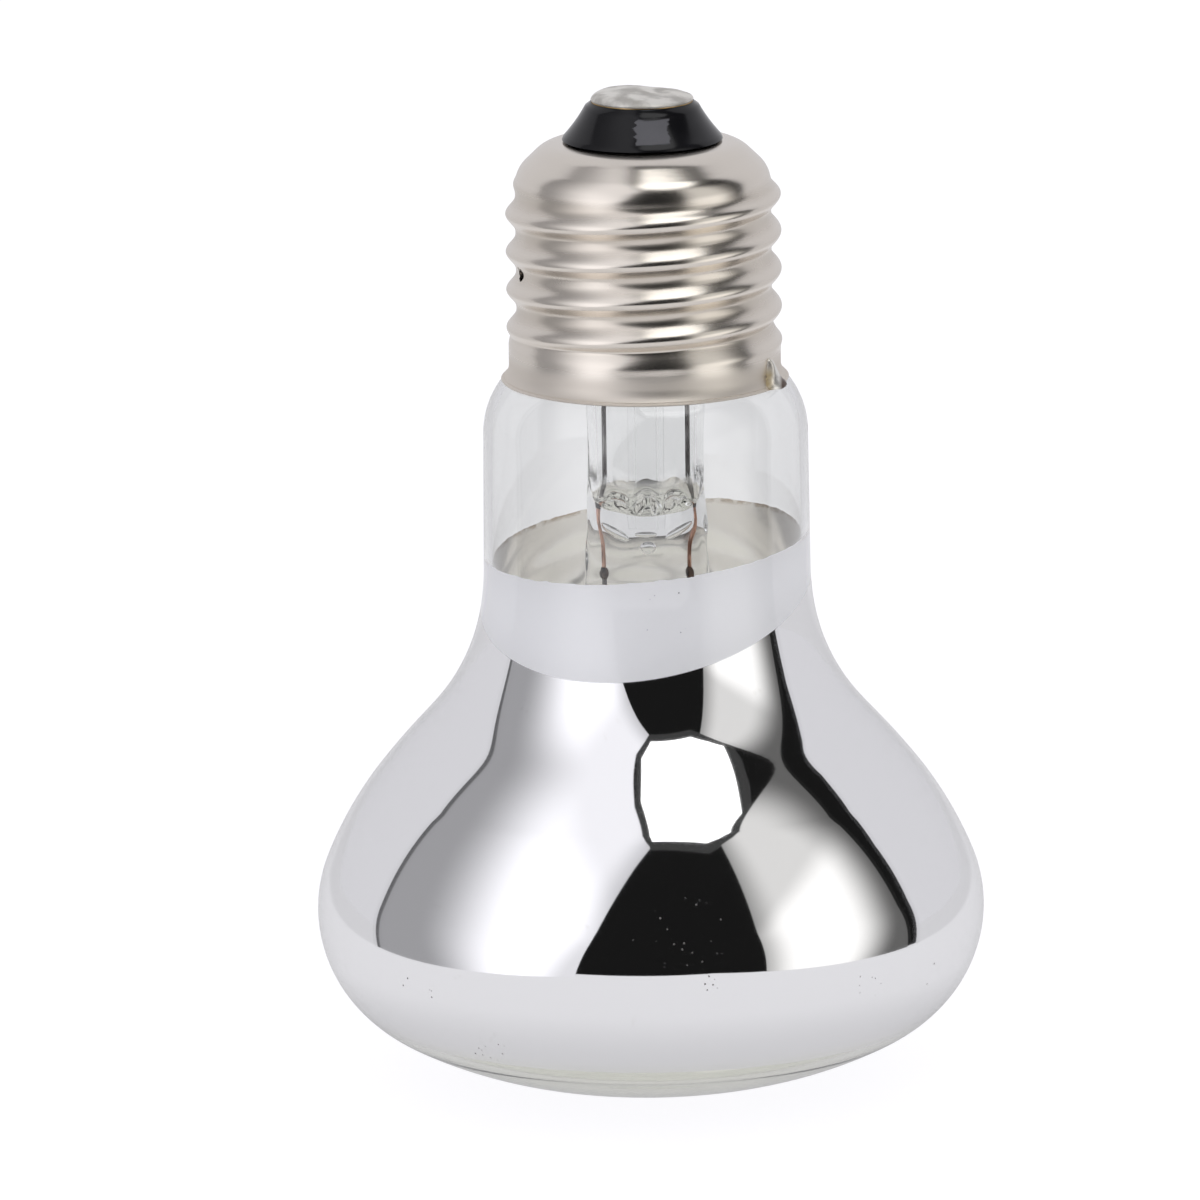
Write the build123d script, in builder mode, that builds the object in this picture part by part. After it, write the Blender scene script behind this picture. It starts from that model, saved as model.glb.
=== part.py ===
from build123d import *
import os
from math import asin, cos, degrees, radians, sin, tan

# A reflector heat lamp, in millimetres, +Z up. It stands on its face with the screw cap on top, and the
# origin is the middle of the face. A blown glass bulb with a mirror film inside its bowl holds a pressed
# glass stem, which carries the leads and the filament. The bulb's neck is cemented into a rolled E27 cap.

# Bulb glass, from the face up
bulb_diameter = 63.86
face_flat_diameter = 12.2
face_radius = 40.1
corner_radius = 12.73
corner_lean = 23.4
bowl_radius = 40.4
cone_angle = 41.2
flare_radius = 13.6
neck_diameter = 31.7
neck_taper = 2.0
neck_length = 16.65
shoulder_radius = 8.1
shoulder_angle = 40.0
seal_length = 5.4
glass_wall = 0.8

# Mirror film on the inside of the bowl, with a lower edge below the widest ring and a tilted upper edge
film_thickness = 0.12
film_drop = 8.75
film_neck_cover = 5.6
film_tilt = 4.6

# Rolled screw cap
thread_diameter = 26.1
thread_depth = 0.95
thread_pitch = 3.629
thread_crest_width = 0.8
thread_flank_width = 0.55
thread_flank_height = 0.43
thread_land = 0.4
thread_runout = 0.9
crest_height = 6.87
cap_wall = 0.3
rim_flare = 0.75
rim_height = 1.0
skirt_step = 0.15
skirt_height = 3.6
skirt_slope_height = 1.0
barrel_height = 18.7
dome_corner_radius = 3.0
dome_slope = 46.0
dome_slope_length = 1.4
dome_crown_radius = 3.2
dome_crown_slope = 82.0
cap_opening_diameter = 14.4
vent_diameter = 1.3
vent_height = 10.8
vent_azimuth = 198.0

# Insulator and centre contact
insulator_base_diameter = 15.1
insulator_top_diameter = 9.9
insulator_height = 3.75
contact_diameter = 9.6
contact_thickness = 0.3
eyelet_diameter = 2.6
eyelet_length = 2.5
eyelet_wall = 0.3
solder_height = 0.85
solder_flat_diameter = 3.0
solder_margin = 0.15

# Glass stem
stem_diameter = 11.0
stem_wall = 0.9
stem_flare_height = 5.0
stem_rim_height = 1.1
press_drop = 28.5
press_width = 12.0
press_thickness = 4.2
press_edge_radius = 1.6
press_height = 6.0
jaw_height = 4.6
hollow_rise = 1.4
hollow_slot = 1.2
exhaust_diameter = 3.4
exhaust_wall = 0.7
exhaust_seat = 0.6
exhaust_rise = 2.5
blow_hole_diameter = 1.6
blow_hole_drop = 1.0
rod_diameter = 3.0
rod_length = 6.0
button_diameter = 4.2

# Leads, filament and its supports
lead_diameter = 0.45
lead_spacing = 7.9
lead_bend_radius = 1.2
weld_height = 1.7
seal_wire_length = 6.6
side_lead_azimuth = -24.0
side_lead_rise = 1.5
notch_width = 0.8
notch_height = 2.2
side_solder_diameter = 2.8
side_solder_top_diameter = 0.8
side_solder_height = 2.8
filament_diameter = 0.9
filament_circle_diameter = 18.0
filament_drop = 12.0
filament_spans = 3
support_diameter = 0.25
support_bend_radius = 0.8
support_hook_rise = 2.0
support_depth = 0.9

# Clearances
neck_play = 0.6
cement_gap = 0.15
hook_play = 0.1
filament_gap = 0.08

# Radii that several pieces share
bulb_r = bulb_diameter / 2
neck_r = neck_diameter / 2
crest_r = thread_diameter / 2
root_r = crest_r - thread_depth
skirt_r = crest_r - skirt_step
rim_r = skirt_r + rim_flare
opening_r = cap_opening_diameter / 2
stem_r = stem_diameter / 2
lead_r = lead_diameter / 2
eyelet_r = eyelet_diameter / 2
seal_r = root_r - cap_wall - neck_play
seal_bore_r = seal_r - glass_wall


def cosd(angle):
    return cos(radians(angle))


def sind(angle):
    return sin(radians(angle))


# Heights that follow from the run of tangent arcs up the outside of the glass
face_angle = degrees(asin((bulb_r - face_flat_diameter / 2 - corner_radius) / (face_radius - corner_radius)))
widest_z = face_radius - (face_radius - corner_radius) * cosd(face_angle)
corner_top_z = widest_z + corner_radius * sind(corner_lean)
corner_inset = corner_radius * (1 - cosd(corner_lean))
bowl_inset = bowl_radius * (cosd(corner_lean) - cosd(cone_angle))
flare_inset = flare_radius * (cosd(neck_taper) - cosd(cone_angle))
cone_length = (bulb_r - corner_inset - bowl_inset - flare_inset - neck_r) / sind(cone_angle)
bowl_top_z = corner_top_z + bowl_radius * (sind(cone_angle) - sind(corner_lean))
cone_top_z = bowl_top_z + cone_length * cosd(cone_angle)
neck_base_z = cone_top_z + flare_radius * (sind(cone_angle) - sind(neck_taper))
shoulder_r = neck_r - neck_length * sind(neck_taper)
shoulder_r -= shoulder_radius * (cosd(neck_taper) - cosd(shoulder_angle))
shoulder_z = neck_base_z + neck_length * cosd(neck_taper)
shoulder_z += shoulder_radius * (sind(shoulder_angle) - sind(neck_taper))


def slope_z(radius):
    """Height at which the glass slope above the shoulder has a radius."""
    return shoulder_z + (shoulder_r - radius) / tan(radians(shoulder_angle))


throat_z = slope_z(seal_r)
seal_top_z = throat_z + seal_length
rim_z = slope_z(rim_r - cap_wall - cement_gap)
dome_z = rim_z + barrel_height
press_bottom_z = seal_top_z - press_drop
press_top_z = press_bottom_z + press_height
weld_z = press_bottom_z + weld_height
seal_wire_top_z = weld_z + seal_wire_length
filament_z = press_bottom_z - filament_drop
button_z = press_bottom_z - rod_length


def dome_corners(inset):
    """Corners of the cap's dome from barrel to opening, set in from its outer surface, as (radius, height)."""
    low_r = root_r - dome_corner_radius
    slope_r = low_r + (dome_corner_radius - inset) * cosd(dome_slope)
    slope_z0 = dome_z + (dome_corner_radius - inset) * sind(dome_slope)
    top_r = slope_r - dome_slope_length * sind(dome_slope)
    top_z = slope_z0 + dome_slope_length * cosd(dome_slope)
    turn = dome_crown_radius - inset
    crown_r = top_r - turn * (cosd(dome_slope) - cosd(dome_crown_slope))
    crown_z = top_z + turn * (sind(dome_crown_slope) - sind(dome_slope))
    edge_z = crown_z + (crown_r - opening_r) / tan(radians(dome_crown_slope))
    return [
        (root_r - inset, dome_z),
        (slope_r, slope_z0),
        (top_r, top_z),
        (crown_r, crown_z),
        (opening_r, edge_z),
    ]


dome_outside = dome_corners(0)
dome_inside = dome_corners(cap_wall)
insulator_z = dome_outside[-1][1]
insulator_top_z = insulator_z + insulator_height
contact_top_z = insulator_top_z + contact_thickness


def glass_skin(inset):
    """Draws the half outline of the bulb, set in from its outer surface, and returns its two ends."""
    face = Line((0, inset), (face_flat_diameter / 2, inset))
    dish = JernArc(face @ 1, face % 1, face_radius - inset, face_angle)
    corner = JernArc(dish @ 1, dish % 1, corner_radius - inset, 90 - face_angle + corner_lean)
    bowl = JernArc(corner @ 1, corner % 1, bowl_radius - inset, cone_angle - corner_lean)
    cone = PolarLine(bowl @ 1, cone_length, direction=bowl % 1)
    flare = JernArc(cone @ 1, cone % 1, flare_radius + inset, neck_taper - cone_angle)
    neck = PolarLine(flare @ 1, neck_length, direction=flare % 1)
    shoulder = JernArc(neck @ 1, neck % 1, shoulder_radius - inset, shoulder_angle - neck_taper)
    slope_run = ((shoulder @ 1).X - seal_r + inset) / sind(shoulder_angle)
    slope = PolarLine(shoulder @ 1, slope_run, direction=shoulder % 1)
    seal = Line(slope @ 1, (seal_r - inset, seal_top_z))
    return face @ 0, seal @ 1


def turned_shell(outer_inset, inner_inset):
    """Draws the closed half section between two insets of the bulb's outline."""
    with BuildLine() as outline:
        outer_ends = glass_skin(outer_inset)
        inner_ends = glass_skin(inner_inset)
        Line(outer_ends[0], inner_ends[0])
        Line(outer_ends[1], inner_ends[1])
    make_face(outline.edges())


# Blown bulb, one wall from the face up to the end of the neck
with BuildPart() as glass_envelope:
    with BuildSketch(Plane.XZ):
        turned_shell(0, glass_wall)
    revolve(axis=Axis.Z)

# Mirror film, cut level below and along a tilted plane in the neck
film_top = Plane(
    origin=(0, 0, neck_base_z + film_neck_cover),
    z_dir=(-sind(film_tilt), 0, cosd(film_tilt)),
)
with BuildPart() as reflector_film:
    with BuildSketch(Plane.XZ):
        turned_shell(glass_wall, glass_wall + film_thickness)
    revolve(axis=Axis.Z)
    split(bisect_by=Plane.XY.offset(widest_z - film_drop), keep=Keep.TOP)
    split(bisect_by=film_top, keep=Keep.BOTTOM)

# Turned outside of the cap without its thread
with BuildPart() as cap_core:
    with BuildSketch(Plane.XZ):
        with BuildLine():
            barrel = Polyline(
                (0, rim_z),
                (rim_r, rim_z),
                (skirt_r, rim_z + rim_height),
                (skirt_r, rim_z + skirt_height),
                (root_r, rim_z + skirt_height + skirt_slope_height),
                dome_outside[0],
            )
            corner = JernArc(barrel @ 1, (0, 1), dome_corner_radius, dome_slope)
            slope = PolarLine(corner @ 1, dome_slope_length, direction=corner % 1)
            crown = JernArc(slope @ 1, slope % 1, dome_crown_radius, dome_crown_slope - dome_slope)
            Polyline(crown @ 1, dome_outside[-1], (0, insulator_z), barrel @ 0)
        make_face()
    revolve(axis=Axis.Z)

# Bore of the cap: one wall in from the rim, skirt and barrel, straight behind the thread
with BuildPart() as cap_bore:
    with BuildSketch(Plane.XZ):
        with BuildLine():
            Polyline(
                (0, rim_z),
                (rim_r - cap_wall, rim_z),
                (skirt_r - cap_wall, rim_z + rim_height),
                (skirt_r - cap_wall, rim_z + skirt_height),
                (root_r - cap_wall, rim_z + skirt_height + skirt_slope_height),
                *dome_inside,
                (opening_r, insulator_z),
                (0, insulator_z),
                close=True,
            )
        make_face()
    revolve(axis=Axis.Z)

# Screw shell. The rolled ridge is a right-hand helix that rises out of the skirt and dies away on the dome
ridge_start_z = rim_z + crest_height - 2 * thread_pitch
ridge_end_z = dome_z + thread_pitch / 6
ridge_foot = thread_pitch / 2 - thread_land / 2
ridge_flank = thread_crest_width / 2 + thread_flank_width
with BuildPart() as cap_shell:
    with BuildLine() as ridge_path:
        Helix(
            pitch=thread_pitch,
            height=ridge_end_z - ridge_start_z,
            radius=root_r,
            center=(0, 0, ridge_start_z),
        )
    with BuildSketch(Plane(origin=(root_r, 0, ridge_start_z), x_dir=(1, 0, 0), z_dir=(0, -1, 0))):
        with BuildLine():
            Polyline(
                (-cap_wall / 2, -ridge_foot),
                (cap_wall / 10, -ridge_foot),
                (thread_flank_height, -ridge_flank),
                (crest_r - root_r, -thread_crest_width / 2),
                (crest_r - root_r, thread_crest_width / 2),
                (thread_flank_height, ridge_flank),
                (cap_wall / 10, ridge_foot),
                (-cap_wall / 2, ridge_foot),
                close=True,
            )
        make_face()
    sweep(path=ridge_path.line, is_frenet=True)
    with BuildSketch(Plane.XZ):
        with BuildLine():
            Polyline(
                (0, rim_z + skirt_height - thread_runout),
                (skirt_r - cap_wall / 2, rim_z + skirt_height - thread_runout),
                (crest_r + cap_wall / 2, rim_z + skirt_height + thread_runout),
                (crest_r + cap_wall / 2, dome_z - thread_runout),
                (root_r, dome_z + thread_runout),
                (0, dome_z + thread_runout),
                close=True,
            )
        make_face()
    revolve(axis=Axis.Z, mode=Mode.INTERSECT)
    add(cap_core.part)
    add(cap_bore.part, mode=Mode.SUBTRACT)
    vent_direction = Vector(1, 0, 0).rotate(Axis.Z, vent_azimuth)
    with BuildSketch(Plane(origin=(0, 0, rim_z + vent_height), z_dir=vent_direction)):
        Circle(vent_diameter / 2)
    extrude(amount=rim_r, mode=Mode.SUBTRACT)
    notch_direction = Vector(1, 0, 0).rotate(Axis.Z, side_lead_azimuth)
    notch_plane = Plane(origin=(0, 0, rim_z), x_dir=notch_direction.rotate(Axis.Z, 90), z_dir=notch_direction)
    with BuildSketch(notch_plane):
        with Locations((0, notch_height / 2)):
            Rectangle(notch_width, notch_height)
    extrude(amount=rim_r, mode=Mode.SUBTRACT)

# Black glass insulator: a cone above the opening and a plug that fills the dome
with BuildPart() as cap_insulator:
    with BuildSketch(Plane.XZ):
        with BuildLine():
            Polyline(
                (eyelet_r, dome_z),
                *dome_inside,
                (opening_r, insulator_z),
                (insulator_base_diameter / 2, insulator_z),
                (insulator_top_diameter / 2, insulator_top_z),
                (eyelet_r, insulator_top_z),
                close=True,
            )
        make_face()
    revolve(axis=Axis.Z)

# Brass contact plate with its eyelet down the middle of the insulator
with BuildPart() as centre_contact:
    with Locations((0, 0, insulator_top_z)):
        Cylinder(contact_diameter / 2, contact_thickness, align=(Align.CENTER, Align.CENTER, Align.MIN))
        Cylinder(eyelet_r, eyelet_length, align=(Align.CENTER, Align.CENTER, Align.MAX))
    with Locations((0, 0, contact_top_z)):
        Hole(eyelet_r - eyelet_wall)


def wire(points, diameter, bend_radius):
    """Adds a round wire along a run of points with rounded bends to the part being built."""
    with BuildLine() as run:
        FilletPolyline(*points, radius=bend_radius)
    path = run.line
    with BuildSketch(Plane(origin=path @ 0, z_dir=path % 0)) as section:
        Circle(diameter / 2)
    sweep(section.sketch, path=path)


# Lead from the left seal wire up the middle of the cap to the centre contact
lead_x = lead_spacing / 2
lead_turn_z = seal_top_z + side_lead_rise
with BuildPart() as contact_lead:
    wire(
        [
            (-lead_x, 0, seal_wire_top_z),
            (-lead_x, 0, lead_turn_z),
            (0, 0, dome_z),
            (0, 0, insulator_top_z),
        ],
        lead_diameter,
        lead_bend_radius,
    )

# Lead from the right seal wire over the end of the neck and down to the notch in the rim
drop_r = seal_r + neck_play / 2
notch_r = rim_r - lead_r
notch_x, notch_y = cosd(side_lead_azimuth), sind(side_lead_azimuth)
with BuildPart() as side_lead:
    wire(
        [
            (lead_x, 0, seal_wire_top_z),
            (lead_x, 0, lead_turn_z),
            (drop_r * notch_x, drop_r * notch_y, lead_turn_z),
            (drop_r * notch_x, drop_r * notch_y, throat_z + lead_diameter),
            (notch_r * notch_x, notch_r * notch_y, rim_z + rim_height),
        ],
        lead_diameter,
        lead_diameter,
    )

# Domed solder over the contact plate, with a plug round the lead in the eyelet
with BuildPart() as contact_solder:
    with BuildSketch(Plane.XZ):
        with BuildLine():
            edge_r = contact_diameter / 2 - solder_margin
            foot = Line((0, contact_top_z), (edge_r, contact_top_z))
            flat = Line((0, contact_top_z + solder_height), (solder_flat_diameter / 2, contact_top_z + solder_height))
            TangentArc(flat @ 1, foot @ 1, tangent=(1, 0))
            Line(foot @ 0, flat @ 0)
        make_face()
    revolve(axis=Axis.Z)
    with Locations((0, 0, contact_top_z)):
        Cylinder(eyelet_r - eyelet_wall, eyelet_length, align=(Align.CENTER, Align.CENTER, Align.MAX))
    add(contact_lead.part, mode=Mode.SUBTRACT)

# Solder at the rim: a tent over the notch and the end of the side lead
with BuildPart() as side_solder:
    with BuildSketch(Plane.XZ):
        with BuildLine():
            tent_foot = Line((0, 0), (side_solder_diameter / 2, 0))
            tent_top = Line((0, side_solder_height), (side_solder_top_diameter / 2, side_solder_height))
            Line(tent_foot @ 1, tent_top @ 1)
            Line(tent_foot @ 0, tent_top @ 0)
        make_face()
    revolve(axis=Axis.Z)
tent_place = Pos(skirt_r * notch_x, skirt_r * notch_y, rim_z)
with BuildPart() as rim_solder:
    add(tent_place * side_solder.part)
    add(cap_core.part, mode=Mode.SUBTRACT)
    add(side_lead.part, mode=Mode.SUBTRACT)

# Cement between the neck and the skirt
cement_bottom_z = rim_z + rim_height
cement_top_z = rim_z + skirt_height
with BuildPart() as cap_cement:
    with BuildSketch(Plane.XZ):
        with BuildLine():
            Polyline(
                (shoulder_r - (cement_bottom_z - shoulder_z) * tan(radians(shoulder_angle)), cement_bottom_z),
                (seal_r, throat_z),
                (seal_r, cement_top_z),
                (skirt_r - cap_wall, cement_top_z),
                (skirt_r - cap_wall, cement_bottom_z),
                close=True,
            )
        make_face()
    revolve(axis=Axis.Z)
    add(side_lead.part, mode=Mode.SUBTRACT)

# Hollow of the stem: the bore of its tube and flare, squeezed to a slot above the press
bore_r = stem_r - stem_wall
flare_z = seal_top_z - stem_flare_height
flare_rate = (stem_flare_height - stem_rim_height) / (seal_bore_r - stem_r)
hollow_z = press_top_z + hollow_rise
jaw_top_z = press_top_z + jaw_height
with BuildPart() as stem_hollow:
    with BuildSketch(Plane.XZ):
        with BuildLine():
            Polyline(
                (0, hollow_z),
                (bore_r, hollow_z),
                (bore_r, seal_top_z - (seal_bore_r - bore_r) * flare_rate),
                (seal_bore_r, seal_top_z),
                (0, seal_top_z),
                close=True,
            )
        make_face()
    revolve(axis=Axis.Z)
    with BuildSketch(Plane.YZ):
        with BuildLine():
            Polyline(
                (hollow_slot / 2, hollow_z),
                (bore_r, jaw_top_z),
                (seal_bore_r, jaw_top_z),
                (seal_bore_r, seal_top_z),
                (-seal_bore_r, seal_top_z),
                (-seal_bore_r, jaw_top_z),
                (-bore_r, jaw_top_z),
                (-hollow_slot / 2, hollow_z),
                close=True,
            )
        make_face()
    extrude(amount=seal_bore_r, both=True, mode=Mode.INTERSECT)

# Stem: a flared tube whose lower end was squeezed flat round the seal wires and the exhaust tube
exhaust_r = exhaust_diameter / 2
exhaust_z = press_top_z + exhaust_seat
with BuildPart() as stem_tube:
    with BuildSketch(Plane.XZ):
        with BuildLine():
            Polyline(
                (0, press_top_z),
                (stem_r, press_top_z),
                (stem_r, flare_z),
                (seal_bore_r, seal_top_z - stem_rim_height),
                (seal_bore_r, seal_top_z),
                (0, seal_top_z),
                close=True,
            )
        make_face()
    revolve(axis=Axis.Z)
    with BuildSketch(Plane.YZ):
        with BuildLine():
            Polyline(
                (press_thickness / 2, press_top_z),
                (stem_r, jaw_top_z),
                (seal_bore_r, jaw_top_z),
                (seal_bore_r, seal_top_z),
                (-seal_bore_r, seal_top_z),
                (-seal_bore_r, jaw_top_z),
                (-stem_r, jaw_top_z),
                (-press_thickness / 2, press_top_z),
                close=True,
            )
        make_face()
    extrude(amount=seal_bore_r, both=True, mode=Mode.INTERSECT)
    with BuildSketch(Plane.XY.offset(press_bottom_z)):
        RectangleRounded(press_width, press_thickness, press_edge_radius)
    extrude(amount=press_height)
    add(stem_hollow.part, mode=Mode.SUBTRACT)
    with BuildSketch(Plane.XY.offset(press_bottom_z)):
        with Locations((-lead_x, 0), (lead_x, 0)):
            Circle(lead_r)
    extrude(amount=jaw_height + press_height, mode=Mode.SUBTRACT)
    with BuildSketch(Plane.XY.offset(exhaust_z)):
        Circle(exhaust_r)
    extrude(amount=jaw_height, mode=Mode.SUBTRACT)
    with BuildSketch(Plane.XY.offset(exhaust_z - blow_hole_drop)):
        Circle(blow_hole_diameter / 2)
    extrude(amount=blow_hole_drop, mode=Mode.SUBTRACT)
    with BuildSketch(Plane.XZ):
        with Locations((0, exhaust_z - blow_hole_drop)):
            Circle(blow_hole_diameter / 2)
    extrude(amount=press_width, mode=Mode.SUBTRACT)

# Exhaust tube, sealed off at its tip inside the cap
exhaust_top_z = seal_top_z + exhaust_rise
with BuildPart() as exhaust_tube:
    with BuildSketch(Plane.XZ):
        with BuildLine():
            side = Line((exhaust_r, exhaust_z), (exhaust_r, exhaust_top_z - exhaust_r))
            tip = JernArc(side @ 1, (0, 1), exhaust_r, 90)
            bore_top_z = exhaust_top_z - 2 * exhaust_r
            Polyline(
                tip @ 1,
                (0, bore_top_z),
                (exhaust_r - exhaust_wall, bore_top_z - exhaust_r),
                (exhaust_r - exhaust_wall, exhaust_z),
                side @ 0,
            )
        make_face()
    revolve(axis=Axis.Z)

# Wires sealed in the press and the leads below them, left and right
seal_wires = {}
inner_leads = {}
filament_r = filament_circle_diameter / 2
for side_name, way in (("left", -1), ("right", 1)):
    with BuildPart() as seal_wire:
        with Locations((way * lead_x, 0, weld_z)):
            Cylinder(lead_r, seal_wire_length, align=(Align.CENTER, Align.CENTER, Align.MIN))
    seal_wires[side_name] = seal_wire
    with BuildPart() as inner_lead:
        wire(
            [
                (way * lead_x, 0, weld_z),
                (way * lead_x, 0, press_bottom_z - lead_bend_radius),
                (way * filament_r, 0, filament_z + support_hook_rise),
                (way * filament_r, 0, filament_z - filament_diameter / 2),
            ],
            lead_diameter,
            lead_bend_radius,
        )
    inner_leads[side_name] = inner_lead

# Filament: straight spans of coil from lead to lead, at the coil's outer diameter
span_angle = 180 / filament_spans
filament_y = lead_r + filament_diameter / 4 + filament_gap
with BuildPart() as filament:
    with BuildLine() as coil_line:
        Polyline(
            (filament_r, filament_y, filament_z),
            *[
                (filament_r * cosd(i * span_angle), filament_r * sind(i * span_angle), filament_z)
                for i in range(1, filament_spans)
            ],
            (-filament_r, filament_y, filament_z),
        )
    with BuildSketch(Plane(origin=coil_line.line @ 0, z_dir=coil_line.line % 0)):
        Circle(filament_diameter / 2)
    sweep(path=coil_line.line, transition=Transition.RIGHT)

# Supports: a wire from the glass button to each corner of the filament, hooked under the coil
hook_r = filament_diameter / 2 / cosd(span_angle / 2) + support_diameter / 2 + hook_play
hook_in = filament_r - hook_r
support_wires = []
for i in range(1, filament_spans):
    hook_plane = Plane(
        origin=(0, 0, 0),
        x_dir=(cosd(i * span_angle), sind(i * span_angle), 0),
        z_dir=(sind(i * span_angle), -cosd(i * span_angle), 0),
    )
    with BuildPart() as support_wire:
        with BuildLine(hook_plane) as hook_line:
            arm = FilletPolyline(
                (button_diameter / 2 - support_depth, button_z),
                (hook_in, filament_z + support_hook_rise),
                (hook_in, filament_z),
                radius=support_bend_radius,
            )
            ThreePointArc(
                (hook_in, filament_z),
                (filament_r, filament_z - hook_r),
                (filament_r + hook_r, filament_z),
            )
        with BuildSketch(Plane(origin=hook_line.line @ 0, z_dir=hook_line.line % 0)):
            Circle(support_diameter / 2)
        sweep(path=hook_line.line)
    support_wires.append(support_wire)

# Glass rod under the press, with the button that holds the supports
with BuildPart() as support_rod:
    with Locations((0, 0, press_bottom_z)):
        Cylinder(rod_diameter / 2, rod_length, align=(Align.CENTER, Align.CENTER, Align.MAX))
    with Locations((0, 0, button_z)):
        Sphere(button_diameter / 2)
    for support_wire in support_wires:
        add(support_wire.part, mode=Mode.SUBTRACT)

pieces = {
    "glass_envelope": glass_envelope,
    "reflector_film": reflector_film,
    "cap_shell": cap_shell,
    "cap_insulator": cap_insulator,
    "cap_cement": cap_cement,
    "centre_contact": centre_contact,
    "contact_solder": contact_solder,
    "side_solder": rim_solder,
    "contact_lead": contact_lead,
    "side_lead": side_lead,
    "stem_tube": stem_tube,
    "exhaust_tube": exhaust_tube,
    "support_rod": support_rod,
    "filament": filament,
}
for side_name in seal_wires:
    pieces["seal_wire_" + side_name] = seal_wires[side_name]
    pieces["inner_lead_" + side_name] = inner_leads[side_name]
for i, support_wire in enumerate(support_wires, start=1):
    pieces[f"support_wire_{i}"] = support_wire

os.makedirs("parts", exist_ok=True)
for node, piece in pieces.items():
    piece.part.label = node
    export_step(piece.part, f"parts/{node}.step")
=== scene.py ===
"""Dresses a reflector heat bulb that stands on its face: clear neck, mirror coat, screw cap and stem."""

import math

import bmesh
import bpy
from mathutils import Matrix, Vector, noise


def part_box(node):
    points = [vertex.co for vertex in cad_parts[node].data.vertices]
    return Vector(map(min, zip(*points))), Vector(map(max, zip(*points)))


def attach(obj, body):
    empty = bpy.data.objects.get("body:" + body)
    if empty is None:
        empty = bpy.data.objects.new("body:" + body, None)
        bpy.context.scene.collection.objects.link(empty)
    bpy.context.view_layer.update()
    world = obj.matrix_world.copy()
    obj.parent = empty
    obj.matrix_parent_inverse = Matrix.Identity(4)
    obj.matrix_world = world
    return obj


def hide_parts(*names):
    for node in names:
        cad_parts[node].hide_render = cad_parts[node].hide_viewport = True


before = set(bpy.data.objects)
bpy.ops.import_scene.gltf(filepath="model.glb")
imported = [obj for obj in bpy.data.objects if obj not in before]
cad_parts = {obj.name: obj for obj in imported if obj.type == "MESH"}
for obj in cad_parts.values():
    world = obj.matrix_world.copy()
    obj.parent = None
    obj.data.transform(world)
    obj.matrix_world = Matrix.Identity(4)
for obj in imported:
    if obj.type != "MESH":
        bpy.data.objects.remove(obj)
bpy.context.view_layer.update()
MM = 0.001
NOISE_SEED = 15
MERGE_REACH = 0.0001 * MM
SHARP_EDGE = math.radians(42)
UP = Vector((0, 0, 1))

bl_info = {
    "name": "Reflector heat bulb",
    "version": (1, 0, 0),
    "blender": (4, 5, 0),
    "location": "3D View > Sidebar > Heat bulb",
    "description": "Models and shades a reflector heat bulb around its CAD frame",
    "category": "Object",
}


def length(name, description, millimetres):
    """A size in the sidebar, written here in millimetres."""
    return bpy.props.FloatProperty(
        name=name, description=description, default=millimetres * MM, unit="LENGTH", precision=5
    )


def angle(name, description, degrees):
    """An angle in the sidebar, written here in degrees."""
    return bpy.props.FloatProperty(
        name=name, description=description, default=math.radians(degrees), unit="ROTATION"
    )


def colour(name, description, red, green, blue):
    """A surface colour in the sidebar."""
    return bpy.props.FloatVectorProperty(
        name=name, description=description, default=(red, green, blue), subtype="COLOR", min=0, max=1
    )


class HeatBulbGlass(bpy.types.PropertyGroup):
    """Sizes of the blown bulb, from the face up to the end of the neck."""

    bulb_radius: length("Bulb radius", "Radius of the widest ring", 31.93)
    face_flat: length("Face flat", "Radius of the flat in the middle of the face", 6.2)
    face_radius: length("Face radius", "Radius of the dished face", 39.7)
    corner_radius: length("Corner radius", "Radius round the widest ring", 12.7)
    corner_lean: angle("Corner lean", "Lean where the corner ends above the widest ring", 22.2)
    bowl_radius: length("Bowl radius", "Radius above the corner", 36.4)
    bowl_lean: angle("Bowl lean", "Lean where the bowl meets the cone", 37.2)
    cone_radius: length("Cone radius", "Slight swell of the cone", 60.0)
    flare_radius: length("Flare radius", "Hollow radius between cone and neck", 20.0)
    neck_radius: length("Neck radius", "Radius at the foot of the neck", 15.58)
    neck_taper: angle("Neck taper", "Lean of the neck from upright", 0.65)
    neck_drop: length("Neck drop", "From the cap's rim down to the top of the straight neck", 5.14)
    shoulder_radius: length("Shoulder radius", "Radius above the neck", 8.1)
    shoulder_angle: angle("Shoulder angle", "Lean at the end of the shoulder", 40.0)
    seal_radius: length("Seal radius", "Radius of the neck's end inside the cap", 11.2)
    wall: length("Wall", "Thickness of the glass", 0.8)
    tint: colour("Glass tint", "Colour of the clear glass", 0.985, 0.99, 0.985)
    face_tint: colour("Face tint", "Colour of the thicker glass of the face", 0.985, 0.99, 0.895)


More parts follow.
